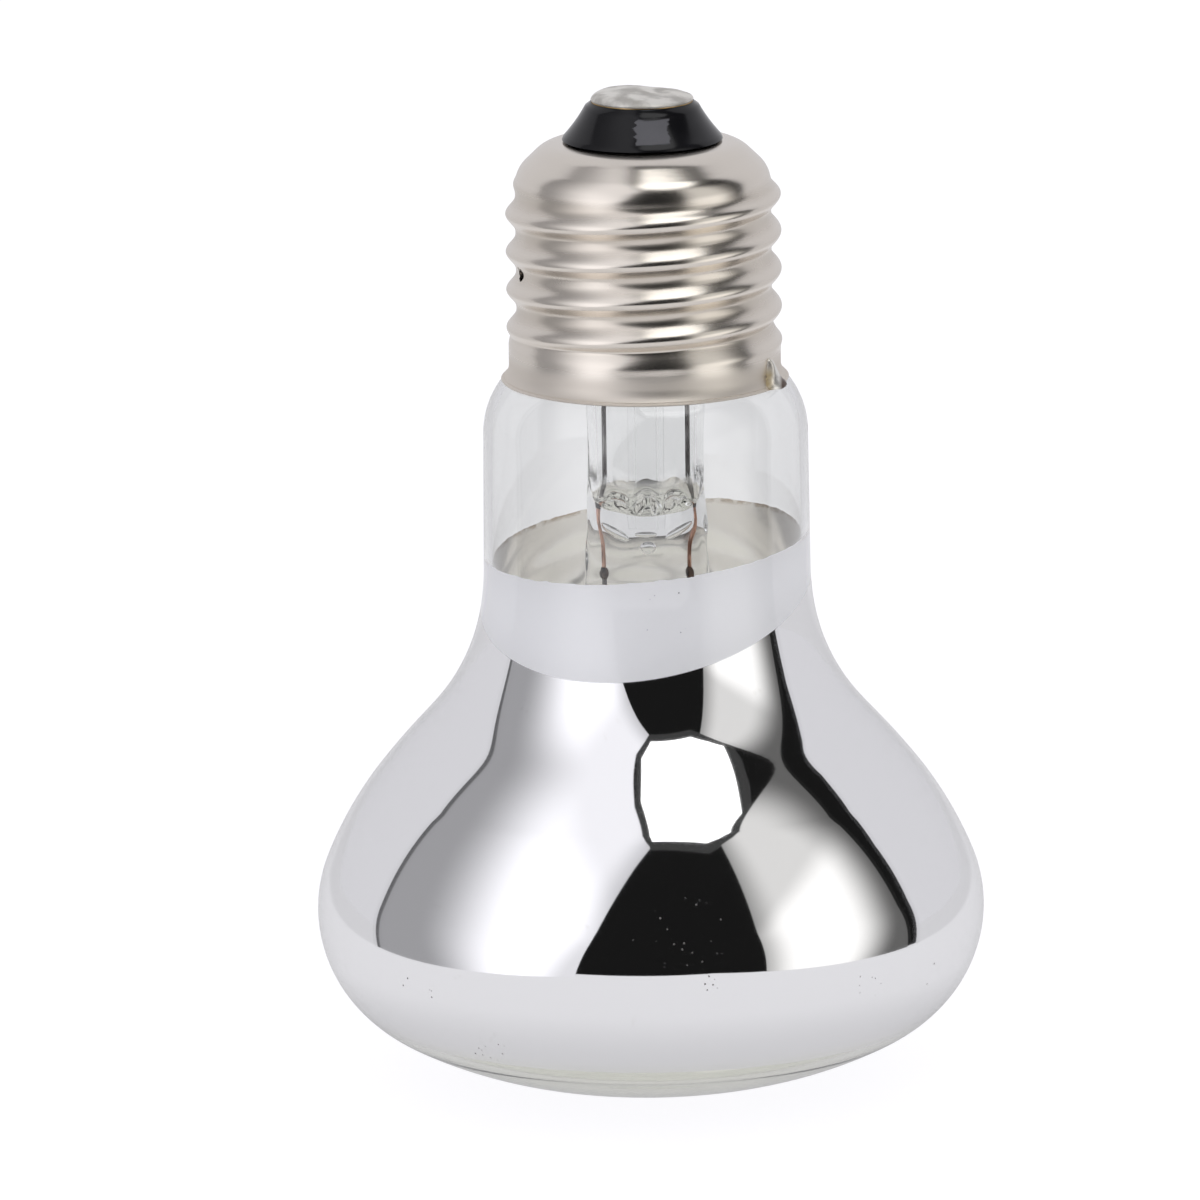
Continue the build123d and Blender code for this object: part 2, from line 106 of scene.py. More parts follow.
class HeatBulbMirror(bpy.types.PropertyGroup):
    """The mirror coat on the inside of the bowl."""

    top: length("Upper edge", "Height of the upper edge at the axis", 51.7)
    tilt: angle("Edge tilt", "Rise of the upper edge to the right", 4.7)
    nod: angle("Edge nod", "Rise of the upper edge to the back", 2.6)
    collar: length("Collar edge", "Height of the matt collar's lower edge at the axis", 46.9)
    collar_tilt: angle("Collar tilt", "Rise of that edge to the right", 6.4)
    collar_nod: angle("Collar nod", "Rise of that edge to the back", 17.2)
    bottom: length("Lower edge", "Height of the lower edge", 7.3)
    ragged: length("Ragged edge", "How far the edge wanders", 0.2)
    thickness: length("Thickness", "Thickness of the coat as it is drawn", 0.1)
    metal: colour("Coat colour", "Colour of the mirror", 0.953, 0.948, 0.96)
    inside: colour("Inside colour", "Colour of the coat's inner side", 0.955, 0.942, 0.935)
    speck: colour("Speck colour", "Colour of small marks in the coat", 0.32, 0.3, 0.29)
    matt: colour("Collar colour", "Colour of the matt collar", 0.8, 0.8, 0.82)
    scorch: colour("Edge colour", "Colour of the coat's thin upper edge", 0.42, 0.31, 0.2)
    # Painted glows: the next two colours are emission that stands in for light through the thin collar
    # and light inside the coat.
    painted_collar_glow: colour("Painted collar glow", "Light that comes through the thin collar", 0.3, 0.3, 0.316)
    painted_inner_glow: colour("Painted inner glow", "Light caught inside the coat", 0.05, 0.049, 0.048)


class HeatBulbCap(bpy.types.PropertyGroup):
    """The rolled screw shell, the insulator and the contact."""

    crest_radius: length("Crest radius", "Outer radius of the thread", 13.05)
    thread_depth: length("Thread depth", "Crest to root", 0.95)
    pitch: length("Pitch", "Rise of the thread in one turn", 3.629)
    crest_height: length("Crest height", "Height of a crest above the rim, on the right", 6.87)
    rim_radius: length("Rim radius", "Radius of the flared rim", 13.65)
    rim_curve: length("Rim curve", "Radius of the flare at the rim", 1.6)
    rim_lean: angle("Rim lean", "Lean of the flare at the rim", 58.0)
    skirt_radius: length("Skirt radius", "Radius of the plain skirt", 12.9)
    skirt_height: length("Skirt height", "Height of the skirt above the rim", 3.6)
    barrel_height: length("Barrel height", "Height of the thread's end above the rim", 18.7)
    dome_corner: length("Dome corner", "Radius between barrel and dome", 3.0)
    dome_slope: angle("Dome slope", "Lean of the dome's straight part", 46.0)
    dome_straight: length("Dome straight", "Length of the dome's straight part", 1.4)
    dome_crown: length("Dome crown", "Radius at the top of the dome", 3.2)
    crown_slope: angle("Crown slope", "Lean at the opening", 82.0)
    opening: length("Opening radius", "Radius of the opening for the insulator", 7.2)
    insulator_foot: length("Insulator foot", "Widest radius of the insulator above the cap", 7.6)
    insulator_top: length("Insulator top", "Radius of the insulator's upper edge", 4.9)
    solder_reach: length("Solder reach", "Radius of the solder on the contact", 4.8)
    sheet: length("Sheet", "Thickness of the sheet metal", 0.3)
    vent_height: length("Vent height", "Height of the vent above the rim", 10.8)
    vent_azimuth: angle("Vent azimuth", "Where the vent is round the cap", 198.0)
    vent_radius: length("Vent radius", "Radius of the vent", 0.7)
    plate: colour("Plate colour", "Colour of the nickel plate", 0.8, 0.745, 0.675)
    tarnish: colour("Tarnish colour", "Colour in the roots of the thread", 0.58, 0.52, 0.44)
    insulator: colour("Insulator colour", "Colour of the insulator", 0.006, 0.006, 0.007)
    brass: colour("Contact colour", "Colour of the contact plate", 0.66, 0.45, 0.2)
    solder: colour("Solder colour", "Colour of the solder", 0.9, 0.88, 0.83)
    flux: colour("Flux colour", "Colour of the flux beside the rim's solder", 0.42, 0.34, 0.19)


class HeatBulbStem(bpy.types.PropertyGroup):
    """The glass stem and the wires that it carries."""

    tube_radius: length("Tube radius", "Outer radius of the stem", 5.5)
    tube_wall: length("Tube wall", "Wall of the stem", 0.9)
    press_width: length("Press width", "Half width of the pressed end", 6.0)
    press_depth: length("Press depth", "Half thickness of the pressed end", 2.1)
    press_height: length("Press height", "Height of the pressed end", 6.0)
    flare_radius: length("Flare radius", "Radius of the stem's upper end", 10.35)
    wire_radius: length("Wire radius", "Radius of the leads", 0.225)
    coil_radius: length("Coil radius", "Radius of the filament's coil", 0.38)
    strand_radius: length("Strand radius", "Radius of the filament's wire", 0.07)
    coil_pitch: length("Coil pitch", "Rise of the coil in one turn", 0.3)
    coil_reach: length("Coil reach", "From the axis to the corners of the filament", 9.0)
    glass: colour("Stem colour", "Colour of the stem's glass", 0.995, 0.997, 0.995)
    lead: colour("Lead colour", "Colour of the leads", 0.34, 0.33, 0.33)
    copper: colour("Copper colour", "Colour of the sealed wires", 0.92, 0.56, 0.44)
    filament: colour("Filament colour", "Colour of the filament", 0.13, 0.13, 0.14)
    cement: colour("Cement colour", "Colour of the cement in the cap", 0.55, 0.5, 0.42)


class HeatBulbStudio(bpy.types.PropertyGroup):
    """Camera and light."""

    distance: length("Distance", "From the camera to its aim", 1000.0)
    aim_height: length("Aim height", "Height of the camera's aim", 47.0)
    elevation: angle("Elevation", "Angle of the camera above level", 13.0)
    roll: angle("Roll", "Roll of the camera", -0.7)
    pan: angle("Pan", "How far the camera looks to the left of its aim", 0.2593)
    dip: angle("Dip", "How far the camera looks below its aim", 0.0565)
    lens: bpy.props.FloatProperty(
        name="Lens", description="Focal length in millimetres", default=314.87
    )
    paper: colour("Table colour", "Colour of the table", 0.9, 0.9, 0.92)
    white: colour("Tent colour", "Colour of the light in the tent", 0.965, 0.96, 1.0)
    floor: colour("Floor glow", "Colour of the glow of the table", 0.98, 0.975, 1.0)


class Shade:
    """One output of a shader node, which Python's operators turn into sums."""

    def __init__(self, graph, socket):
        self.graph = graph
        self.socket = socket

    def maths(self, operation, *values):
        return self.graph.node("ShaderNodeMath", {"operation": operation}, dict(enumerate(values)))

    def __add__(self, other):
        return self.maths("ADD", self, other)

    def __radd__(self, other):
        return self.maths("ADD", other, self)

    def __sub__(self, other):
        return self.maths("SUBTRACT", self, other)

    def __rsub__(self, other):
        return self.maths("SUBTRACT", other, self)

    def __mul__(self, other):
        return self.maths("MULTIPLY", self, other)

    def __rmul__(self, other):
        return self.maths("MULTIPLY", other, self)

    def __pow__(self, other):
        return self.maths("POWER", self, other)

    def ramp(self, low, high):
        """0 at low, 1 at high and smooth between."""
        settings = {"interpolation_type": "SMOOTHSTEP"}
        inputs = {"Value": self, "From Min": low, "From Max": high}
        return self.graph.node("ShaderNodeMapRange", settings, inputs, "Result")


MIX_FIRST = 6
MIX_SECOND = 7
MIX_RESULT = 2


class Graph:
    """The node tree of one material or world."""

    def __init__(self, owner):
        owner.use_nodes = True
        self.tree = owner.node_tree
        self.tree.nodes.clear()

    def node(self, kind, settings, inputs, output=0):
        """Adds a node, sets it up, fills or links its inputs and returns one of its outputs."""
        made = self.tree.nodes.new(kind)
        for name, value in settings.items():
            setattr(made, name, value)
        for key, value in inputs.items():
            if isinstance(value, Shade):
                self.tree.links.new(value.socket, made.inputs[key])
            else:
                made.inputs[key].default_value = value
        return Shade(self, made.outputs[output])

    def end(self, kind, surface):
        """Links a shader to the tree's output."""
        self.tree.links.new(surface.socket, self.tree.nodes.new(kind).inputs["Surface"])

    def place(self):
        """Object coordinates."""
        return self.node("ShaderNodeTexCoord", {}, {}, "Object")

    def axis(self, name):
        """One of the object coordinates."""
        return self.node("ShaderNodeSeparateXYZ", {}, {0: self.place()}, name)

    def stretched(self, x, y, z):
        """Object coordinates with another scale on each axis."""
        return self.node("ShaderNodeMapping", {}, {"Vector": self.place(), "Scale": (x, y, z)})

    def distance(self, spot):
        """How far the surface is from a spot."""
        inputs = {0: self.place(), 1: spot}
        return self.node("ShaderNodeVectorMath", {"operation": "DISTANCE"}, inputs, "Value")

    def noise(self, scale, detail=3.0, where=None):
        """Clouds from 0 to 1, on object coordinates unless others are given."""
        inputs = {"Vector": where or self.place(), "Scale": scale, "Detail": detail}
        return self.node("ShaderNodeTexNoise", {}, inputs, "Fac")

    def mix(self, factor, first, second):
        """A colour between two colours."""
        inputs = {"Factor": factor, MIX_FIRST: rgba(first), MIX_SECOND: rgba(second)}
        return self.node("ShaderNodeMix", {"data_type": "RGBA"}, inputs, MIX_RESULT)

    def bump(self, height, distance, strength):
        """A normal that follows small heights."""
        inputs = {"Height": height, "Distance": distance, "Strength": strength}
        return self.node("ShaderNodeBump", {}, inputs, "Normal")


def rgba(value):
    """A colour with its alpha, or a socket as it is."""
    return value if isinstance(value, Shade) else (*value, 1.0)


def shaded(name, shader):
    """A material with the surface that shader(graph) builds."""
    made = bpy.data.materials.new(name)
    graph = Graph(made)
    graph.end("ShaderNodeOutputMaterial", shader(graph))
    return made


def material(name, constants, paint):
    """A Principled material: plain values, and what paint(graph) returns for the sockets that vary."""
    def shader(graph):
        return graph.node("ShaderNodeBsdfPrincipled", {}, {**constants, **paint(graph)})

    return shaded(name, shader)


GLASS_IOR = 1.5
FOLDED_IOR = 1.3
TUBE_IOR = 1.045
FAINT_IOR = 1.04
INSULATOR_IOR = 1.35
WHITE = (1, 1, 1)
UNLIT = (0, 0, 0)
DUST = (0.9, 0.9, 0.88)
PAINTED_VENT_SHADE = (0.004, 0.004, 0.004)
SMEARED = (0.012, 0.012, 0.014)
PAINTED_REFLECTION_GREY = (0.1, 0.1, 0.108)
DULL_SOLDER = (0.6, 0.58, 0.54)
BURNT = (0.07, 0.04, 0.025)
STREAKED = (0.97, 0.976, 0.97)
STAINED_BRASS = (0.3, 0.2, 0.1)
PALE_GRIT = (0.7, 0.66, 0.58)
DARK_LEAD = (0.12, 0.11, 0.11)
DARK_COPPER = (0.2, 0.09, 0.06)
WELD = (0.16, 0.11, 0.09)
DARK_WELD = (0.05, 0.04, 0.035)
DARK_FILAMENT = (0.05, 0.05, 0.055)
SUPPORT = (0.42, 0.41, 0.4)
DARK_SUPPORT = (0.2, 0.19, 0.19)


def bulb_glass_material(glass):
    """Clear glass with a little dust, tinted where the face is thick."""
    def paint(graph):
        dust = graph.noise(900, 6).ramp(0.66, 0.8)
        body = graph.mix(graph.axis("Z").ramp(4 * MM, 8.5 * MM), glass.face_tint, glass.tint)
        return {"Base Color": graph.mix(dust, body, DUST), "Roughness": dust * 0.06}

    return material("clear_bulb_glass", {"Transmission Weight": 1.0, "IOR": GLASS_IOR}, paint)


MARKS = (
    ((-22 * MM, -22 * MM, 13 * MM), 3.5 * MM),
    ((26 * MM, -17 * MM, 14 * MM), 2.5 * MM),
    ((-15 * MM, -24 * MM, 8.3 * MM), 3.5 * MM),
    ((3 * MM, -30 * MM, 19.5 * MM), 7 * MM),
    ((20 * MM, -23 * MM, 14 * MM), 4 * MM),
    ((2 * MM, -15 * MM, 48 * MM), 4 * MM),
)


def mirror_material(style):
    """A mirror outside and duller inside, with a matt collar, specks, a scorched upper edge and painted
    glows on the collar and the inner side.
    """
    def paint(graph):
        across, along, height = (graph.axis(name) for name in "XYZ")
        worn = 0.0
        for spot, reach in MARKS:
            worn = worn + 1 - graph.distance(spot).ramp(0.2 * reach, reach)
        spread = {"Vector": graph.place(), "Scale": 1700}
        cells = graph.node("ShaderNodeTexVoronoi", {}, spread, "Distance")
        pick = graph.noise(800, 1).ramp(0.54, 0.6)
        speck = (1 - cells.ramp(0.1, 0.22)) * pick * worn.ramp(0.2, 0.7)
        haze = graph.noise(60, 4).ramp(0.3, 0.8)
        ridge = height - across * math.tan(style.collar_tilt) - along * math.tan(style.collar_nod)
        collar = ridge.ramp(style.collar - 0.06 * MM, style.collar + 0.06 * MM)
        brim = height - across * math.tan(style.tilt) - along * math.tan(style.nod)
        edge = brim.ramp(style.top - 0.5 * MM, style.top) * graph.noise(900, 3).ramp(0.35, 0.6)
        edge = edge * along.ramp(-9 * MM, 4 * MM)
        facing = graph.node("ShaderNodeNewGeometry", {}, {}, "Normal")
        sides = {0: facing, 1: graph.stretched(1, 1, 0)}
        outward = graph.node("ShaderNodeVectorMath", {"operation": "DOT_PRODUCT"}, sides, "Value")
        outer = outward.ramp(-0.1 * MM, 0.1 * MM)
        band = collar * outer
        skin = graph.mix(outer, style.inside, style.metal)
        coat = graph.mix(speck, graph.mix(band, skin, style.matt), style.speck)
        # Painted glow: the coat's inner side and the matt collar emit these colours.
        inner_glow = graph.mix(outer, style.painted_inner_glow, UNLIT)
        return {
            "Base Color": graph.mix(edge * 0.75, coat, style.scorch),
            "Metallic": (1 - band * 0.82) * (1 - speck),
            "Roughness": 0.02 + haze * 0.015 + speck * 0.4 + band * 0.4 + (1 - outer) * 0.1,
            "Emission Color": graph.mix(band * (1 - speck), inner_glow, style.painted_collar_glow),
        }

    return material("mirror_coat", {"Emission Strength": 1.0}, paint)


def nickel_material(cap, vent, rim):
    """Nickel plate, tarnished in the thread's roots, dull on the skirt and bright on the dome, with
    painted shade at the vent's edge.
    """
    def paint(graph):
        across, along, height = (graph.axis(name) for name in "XYZ")
        radius = (across * across + along * along) ** 0.5
        crest, depth = cap.crest_radius, cap.thread_depth
        root = 1 - radius.ramp(crest - depth, crest - 0.25 * depth)
        blotch = graph.noise(160, 5)
        grain = graph.noise(1.0, 2, graph.stretched(600, 600, 5200))
        # Painted shade: the vent's edge and walls are painted near black and matt, as the dark inside
        # the hole.
        hole = 1 - graph.distance(vent).ramp(cap.vent_radius * 0.85, cap.vent_radius)
        skirt = 1 - height.ramp(rim + cap.skirt_height * 0.45, rim + cap.skirt_height * 0.85)
        barrel_top = rim + cap.barrel_height
        dome = height.ramp(barrel_top - 0.4 * MM, barrel_top + 0.8 * MM)
        worn = graph.mix(root * (1 - dome) * blotch * 0.75, cap.plate, cap.tarnish)
        plain = 0.2 + blotch * 0.09 + root * 0.04
        return {
            "Base Color": graph.mix(hole, worn, PAINTED_VENT_SHADE),
            "Metallic": 1 - hole,
            "Roughness": plain + skirt * 0.26 - dome * 0.07 + hole * 0.5,
            "Normal": graph.bump(grain, 0.012 * MM, 0.3),
        }

    return material("nickel_plate", {}, paint)


def insulator_material(black, middle):
    """Glossy black with a painted grey reflection of the lamp at the front."""
    def paint(graph):
        smear = graph.noise(260, 4)
        fray = (graph.noise(1.0, 3, graph.stretched(500, 500, 2600)) - 0.5) * 1.5 * MM
        across = graph.axis("X") + fray
        wide = across.ramp(-0.75 * MM, -0.5 * MM) * (1 - across.ramp(2.3 * MM, 2.55 * MM))
        tall = graph.axis("Z") + fray * 0.3
        below = tall.ramp(middle - 1.2 * MM, middle - 1.0 * MM)
        high = below * (1 - tall.ramp(middle + 0.9 * MM, middle + 1.1 * MM))
        # Painted reflection: a rougher grey patch at the front stands in for the lamp's reflection.
        painted_reflection = wide * high * (1 - graph.axis("Y").ramp(-4 * MM, -3 * MM))
        tone = graph.mix(smear.ramp(0.5, 0.8), black, SMEARED)
        return {
            "Base Color": graph.mix(painted_reflection * (0.75 + smear * 0.4), tone, PAINTED_REFLECTION_GREY),
            "Roughness": 0.1 + smear * 0.12 + painted_reflection * 0.35,
        }

    return material("black_insulator_glass", {"IOR": INSULATOR_IOR}, paint)


def solder_material(metal):
    """Clouded, pitted solder."""
    def paint(graph):
        cloud = graph.noise(420, 5)
        pits = graph.noise(2400, 3)
        return {
            "Base Color": graph.mix(cloud.ramp(0.4, 0.65), metal, DULL_SOLDER),
            "Roughness": 0.4 + cloud * 0.25,
            "Normal": graph.bump(pits + cloud, 0.06 * MM, 0.5),
        }

    return material("dull_solder", {"Metallic": 1.0}, paint)


def rim_solder_material(cap, low, high):
    """Bright along the wire, yellow flux at the left foot, scorched at the right foot."""
    def paint(graph):
        cloud = graph.noise(700, 4)
        across = graph.axis("X")
        rise = graph.axis("Z").ramp(low.z + 0.6 * MM, high.z - 0.3 * MM)
        middle = (low.x + high.x) / 2
        left = 1 - across.ramp(middle - 0.5 * MM, middle + 0.15 * MM)
        right = across.ramp(middle + 0.25 * MM, middle + 0.75 * MM)
        flux = (left * 0.85 + cloud.ramp(0.45, 0.65) * 0.5) * (1 - rise * 0.75)
        scorch = right * (1 - rise) + graph.noise(1300, 3).ramp(0.6, 0.7) * left * (1 - rise)
        flux = flux.maths("MINIMUM", flux, 1.0)
        scorch = scorch.maths("MINIMUM", scorch, 1.0)
        covered = graph.mix(flux, cap.solder, cap.flux)
        return {
            "Base Color": graph.mix(scorch, covered, BURNT),
            "Metallic": (1 - flux * 0.85) * (1 - scorch),
            "Roughness": 0.24 + cloud * 0.2,
            "Normal": graph.bump(cloud, 0.12 * MM, 0.6),
        }

    return material("rim_solder", {"Coat Weight": 0.2}, paint)


def stem_glass_material(tint, crown):
    """Drawn glass that shows its folds up to the crown and hardly shows above it."""
    def shader(graph):
        streak = graph.noise(1.0, 3, graph.stretched(900, 900, 160))
        look = {
            "Base Color": graph.mix(streak.ramp(0.5, 0.75), tint, STREAKED),
            "Roughness": streak.ramp(0.55, 0.8) * 0.04,
            "Normal": graph.bump(streak, 0.04 * MM, 0.3),
            "Transmission Weight": 1.0,
        }
        folded = graph.node("ShaderNodeBsdfPrincipled", {}, {**look, "IOR": FOLDED_IOR})
        plain = graph.node("ShaderNodeBsdfPrincipled", {}, {**look, "IOR": TUBE_IOR})
        above = graph.axis("Z").ramp(crown - 0.8 * MM, crown + 0.8 * MM)
        return graph.node("ShaderNodeMixShader", {}, {0: above, 1: folded, 2: plain})

    return shaded("stem_glass", shader)


def faint_glass_material(tint):
    """Thin tube glass that hardly shows."""
    def paint(graph):
        streak = graph.noise(1.0, 2, graph.stretched(700, 700, 90))
        return {"Base Color": graph.mix(streak, tint, WHITE), "Roughness": streak * 0.02}

    return material("thin_tube_glass", {"Transmission Weight": 1.0, "IOR": FAINT_IOR}, paint)


def wire_material(name, metal, dark, scale):
    """Drawn wire with darker marks along it."""
    def paint(graph):
        marks = graph.noise(1.0, 3, graph.stretched(scale, scale, scale * 0.3))
        return {
            "Base Color": graph.mix(marks.ramp(0.4, 0.68), metal, dark),
            "Roughness": 0.28 + marks * 0.25,
        }

    return material(name, {"Metallic": 1.0}, paint)


def brass_material(metal):
    """Stained brass."""
    def paint(graph):
        stain = graph.noise(500, 4)
        return {
            "Base Color": graph.mix(stain.ramp(0.4, 0.7), metal, STAINED_BRASS),
            "Roughness": 0.25 + stain * 0.2,
        }

    return material("contact_brass", {"Metallic": 1.0}, paint)


def cement_material(tone):
    """Gritty cement."""
    def paint(graph):
        grain = graph.noise(1800, 5)
        return {
            "Base Color": graph.mix(grain, tone, PALE_GRIT),
            "Roughness": 0.8 + grain * 0.15,
            "Normal": graph.bump(grain, 0.1 * MM, 0.6),
        }

    return material("cap_cement", {}, paint)


class Outline:
    """Half outline of a turned piece, drawn by lines and tangent arcs, as (radius, height) points."""

    def __init__(self, radius, height):
        self.points = [(radius, height)]
        self.heading = 0.0

    def to(self, radius, height):
        """A straight line to a point."""
        last_radius, last_height = self.points[-1]
        self.heading = math.atan2(height - last_height, radius - last_radius)
        self.points.append((radius, height))

    def step(self, run, way):
        """A point at a distance from the last one."""
        radius, height = self.points[-1]
        self.points.append((radius + run * math.cos(way), height + run * math.sin(way)))

    def line(self, run, steps=1):
        for _ in range(steps):
            self.step(run / steps, self.heading)

    def line_to_radius(self, radius):
        self.line((radius - self.points[-1][0]) / math.cos(self.heading))

    def line_to_height(self, height, steps=1):
        self.line((height - self.points[-1][1]) / math.sin(self.heading), steps)

    def arc(self, radius, turn, steps):
        """Turns left for a positive angle, right for a negative one."""
        step = turn / steps
        chord = 2 * radius * math.sin(abs(step) / 2)
        for _ in range(steps):
            self.step(chord, self.heading + step / 2)
            self.heading += step

    def relax(self, first, rounds):
        """Evens the bend of the points from first up to the last one."""
        for _ in range(rounds):
            before = self.points[:]
            for i in range(first, len(before) - 1):
                trio = zip(before[i - 1], before[i], before[i + 1])
                self.points[i] = tuple((low + 2 * middle + high) / 4 for low, middle, high in trio)


def bulb_outline(glass, inset):
    """Outline of one skin of the bulb, set in from its outside."""
    upright = math.pi / 2
    corner = glass.corner_radius
    face_turn = math.asin((glass.bulb_radius - glass.face_flat - corner) / (glass.face_radius - corner))
    lean, taper = glass.bowl_lean, glass.neck_taper
    cone_radius, flare_radius = glass.cone_radius - inset, glass.flare_radius + inset
    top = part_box("glass_envelope")[1].z
    skin = Outline(0, inset)
    skin.line(glass.face_flat)
    skin.arc(glass.face_radius - inset, face_turn, steps=26)
    skin.arc(corner - inset, upright - face_turn + glass.corner_lean, steps=40)
    skin.arc(glass.bowl_radius - inset, lean - glass.corner_lean, steps=18)
    foot = glass.neck_radius - inset * math.cos(taper)
    reach = foot - skin.points[-1][0] + cone_radius * math.cos(lean) + flare_radius * math.cos(taper)
    steepest = math.acos(reach / (cone_radius + flare_radius))
    cone = len(skin.points)
    skin.arc(cone_radius, steepest - lean, steps=14)
    skin.arc(flare_radius, taper - steepest, steps=30)
    skin.relax(cone, rounds=14)
    skin.line_to_height(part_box("cap_shell")[0].z - glass.neck_drop - inset * math.sin(taper), steps=10)
    skin.arc(glass.shoulder_radius - inset, glass.shoulder_angle - taper, steps=20)
    skin.line_to_radius(glass.seal_radius - inset)
    skin.to(glass.seal_radius - inset, top)
    return skin.points


def spun(points, segments):
    """A mesh turned from half an outline, closed at its seam and at the axis."""
    mesh = bmesh.new()
    verts = [mesh.verts.new((radius, 0, height)) for radius, height in points]
    edges = [mesh.edges.new(pair) for pair in zip(verts, verts[1:])]
    bmesh.ops.spin(
        mesh,
        geom=verts + edges,
        cent=(0, 0, 0),
        axis=UP,
        angle=math.tau,
        steps=segments,
        use_merge=True,
    )
    bmesh.ops.remove_doubles(mesh, verts=mesh.verts, dist=MERGE_REACH)
    bmesh.ops.recalc_face_normals(mesh, faces=mesh.faces)
    return mesh


def linked(name, data):
    """A new object of the scene."""
    made = bpy.data.objects.new(name, data)
    bpy.context.scene.collection.objects.link(made)
    return made


def meshed(name, mesh, finish):
    """A new object made of a finished mesh."""
    data = bpy.data.meshes.new(name)
    mesh.to_mesh(data)
    mesh.free()
    data.materials.append(finish)
    return linked(name, data)


def piece(name, mesh, finish, slot, *nodes):
    """Makes a finished mesh a piece of the bulb that stands for CAD nodes."""
    made = meshed(name, mesh, finish)
    made.data.shade_smooth()
    made.data.set_sharp_from_angle(angle=SHARP_EDGE)
    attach(made, "root")
    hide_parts(*nodes)
    return made


def paint_node(node, finish):
    """Gives a CAD node that keeps its shape its material."""
    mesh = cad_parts[node].data
    mesh.materials.clear()
    mesh.materials.append(finish)


def wander(point, scale, size):
    """A smooth offset that depends on the place only, once the noise has its seed."""
    return noise.noise_vector(point * scale) * size


class HEATBULB_OT_glass(bpy.types.Operator):
    """Blow the bulb: both skins of the wall, joined at the end of the neck"""

    bl_idname = "heat_bulb.glass"
    bl_label = "Glass bulb"

    def execute(self, context):
        glass = context.scene.heat_bulb_glass
        outside = bulb_outline(glass, 0)
        inside = bulb_outline(glass, glass.wall)
        mesh = spun(outside + inside[::-1], segments=160)
        piece("bulb_glass", mesh, bulb_glass_material(glass), "bulb_glass", "glass_envelope")
        return {"FINISHED"}


def cut(mesh, height, normal, **side):
    """Cuts through a height of the axis and clears one side."""
    everything = mesh.verts[:] + mesh.edges[:] + mesh.faces[:]
    bmesh.ops.bisect_plane(mesh, geom=everything, plane_co=UP * height, plane_no=normal, **side)


class HEATBULB_OT_mirror(bpy.types.Operator):
    """Coat the inside of the bowl, with a ragged edge in the neck"""

    bl_idname = "heat_bulb.mirror"
    bl_label = "Mirror coat"

    def execute(self, context):
        glass = context.scene.heat_bulb_glass
        style = context.scene.heat_bulb_mirror
        inset = glass.wall - 0.6 * style.thickness
        grain = 1.1 * MM
        mesh = spun(bulb_outline(glass, inset), segments=288)
        cut(mesh, style.bottom, UP, clear_inner=True)
        slant = Vector((-math.tan(style.tilt), -math.tan(style.nod), 1)).normalized()
        cut(mesh, style.top, slant, clear_outer=True)
        for vert in [vert for vert in mesh.verts if vert.is_boundary]:
            back = next(edge.other_vert(vert) for edge in vert.link_edges if not edge.is_boundary)
            rough = 0.5 + 0.5 * noise.fractal(vert.co / grain, 0.9, 2.1, 4)
            vert.co += (vert.co - back.co).normalized() * max(rough, 0) * style.ragged
        bmesh.ops.solidify(mesh, geom=mesh.faces[:], thickness=style.thickness)
        piece("mirror_coat", mesh, mirror_material(style), "mirror_film", "reflector_film")
        return {"FINISHED"}


THREAD_LEAD = 1.2 * MM
THREAD_START = (-1.0 * MM, 0.4 * MM)
THREAD_END = (-1.2 * MM, 0.9 * MM)
SHOULDER = (-0.3 * MM, 2.2 * MM)
CREST_POWER = 1.3
RUN_OUT_BLEND = 0.4


def cap_outline(cap, rim):
    """Outline of the cap's outside without its thread, close-stepped along the barrel."""
    root = cap.crest_radius - cap.thread_depth
    shell = Outline(cap.rim_radius - cap.sheet, rim)
    shell.to(cap.rim_radius - 0.05 * MM, rim)
    shell.to(cap.rim_radius, rim + 0.08 * MM)
    shell.heading = math.pi / 2 + cap.rim_lean
    shell.arc(cap.rim_curve, -cap.rim_lean, steps=14)
    low, high = rim + cap.skirt_height - THREAD_LEAD, rim + cap.barrel_height
    shell.to(cap.skirt_radius, low)
    steps = 160
    for i in range(1, steps + 1):
        shell.to(root, low + (high - low) * i / steps)
    shell.heading = math.pi / 2
    shell.arc(cap.dome_corner, cap.dome_slope, steps=16)
    shell.line(cap.dome_straight)
    shell.arc(cap.dome_crown, cap.crown_slope - cap.dome_slope, steps=14)
    shell.line_to_radius(cap.opening)
    return shell.points


def smooth_step(low, high, value):
    """0 up to low, 1 from high on and smooth between."""
    share = min(max((value - low) / (high - low), 0), 1)
    return share * share * (3 - 2 * share)


def punch(mesh, middle, radius):
    """Opens a round hole in a skin that has no thickness yet."""
    inner = [vert for vert in mesh.verts if (vert.co - middle).length < radius]
    bmesh.ops.delete(mesh, geom=inner, context="VERTS")
    for vert in mesh.verts:
        if vert.is_boundary and (vert.co - middle).length < 2 * radius:
            vert.co = middle + (vert.co - middle).normalized() * radius


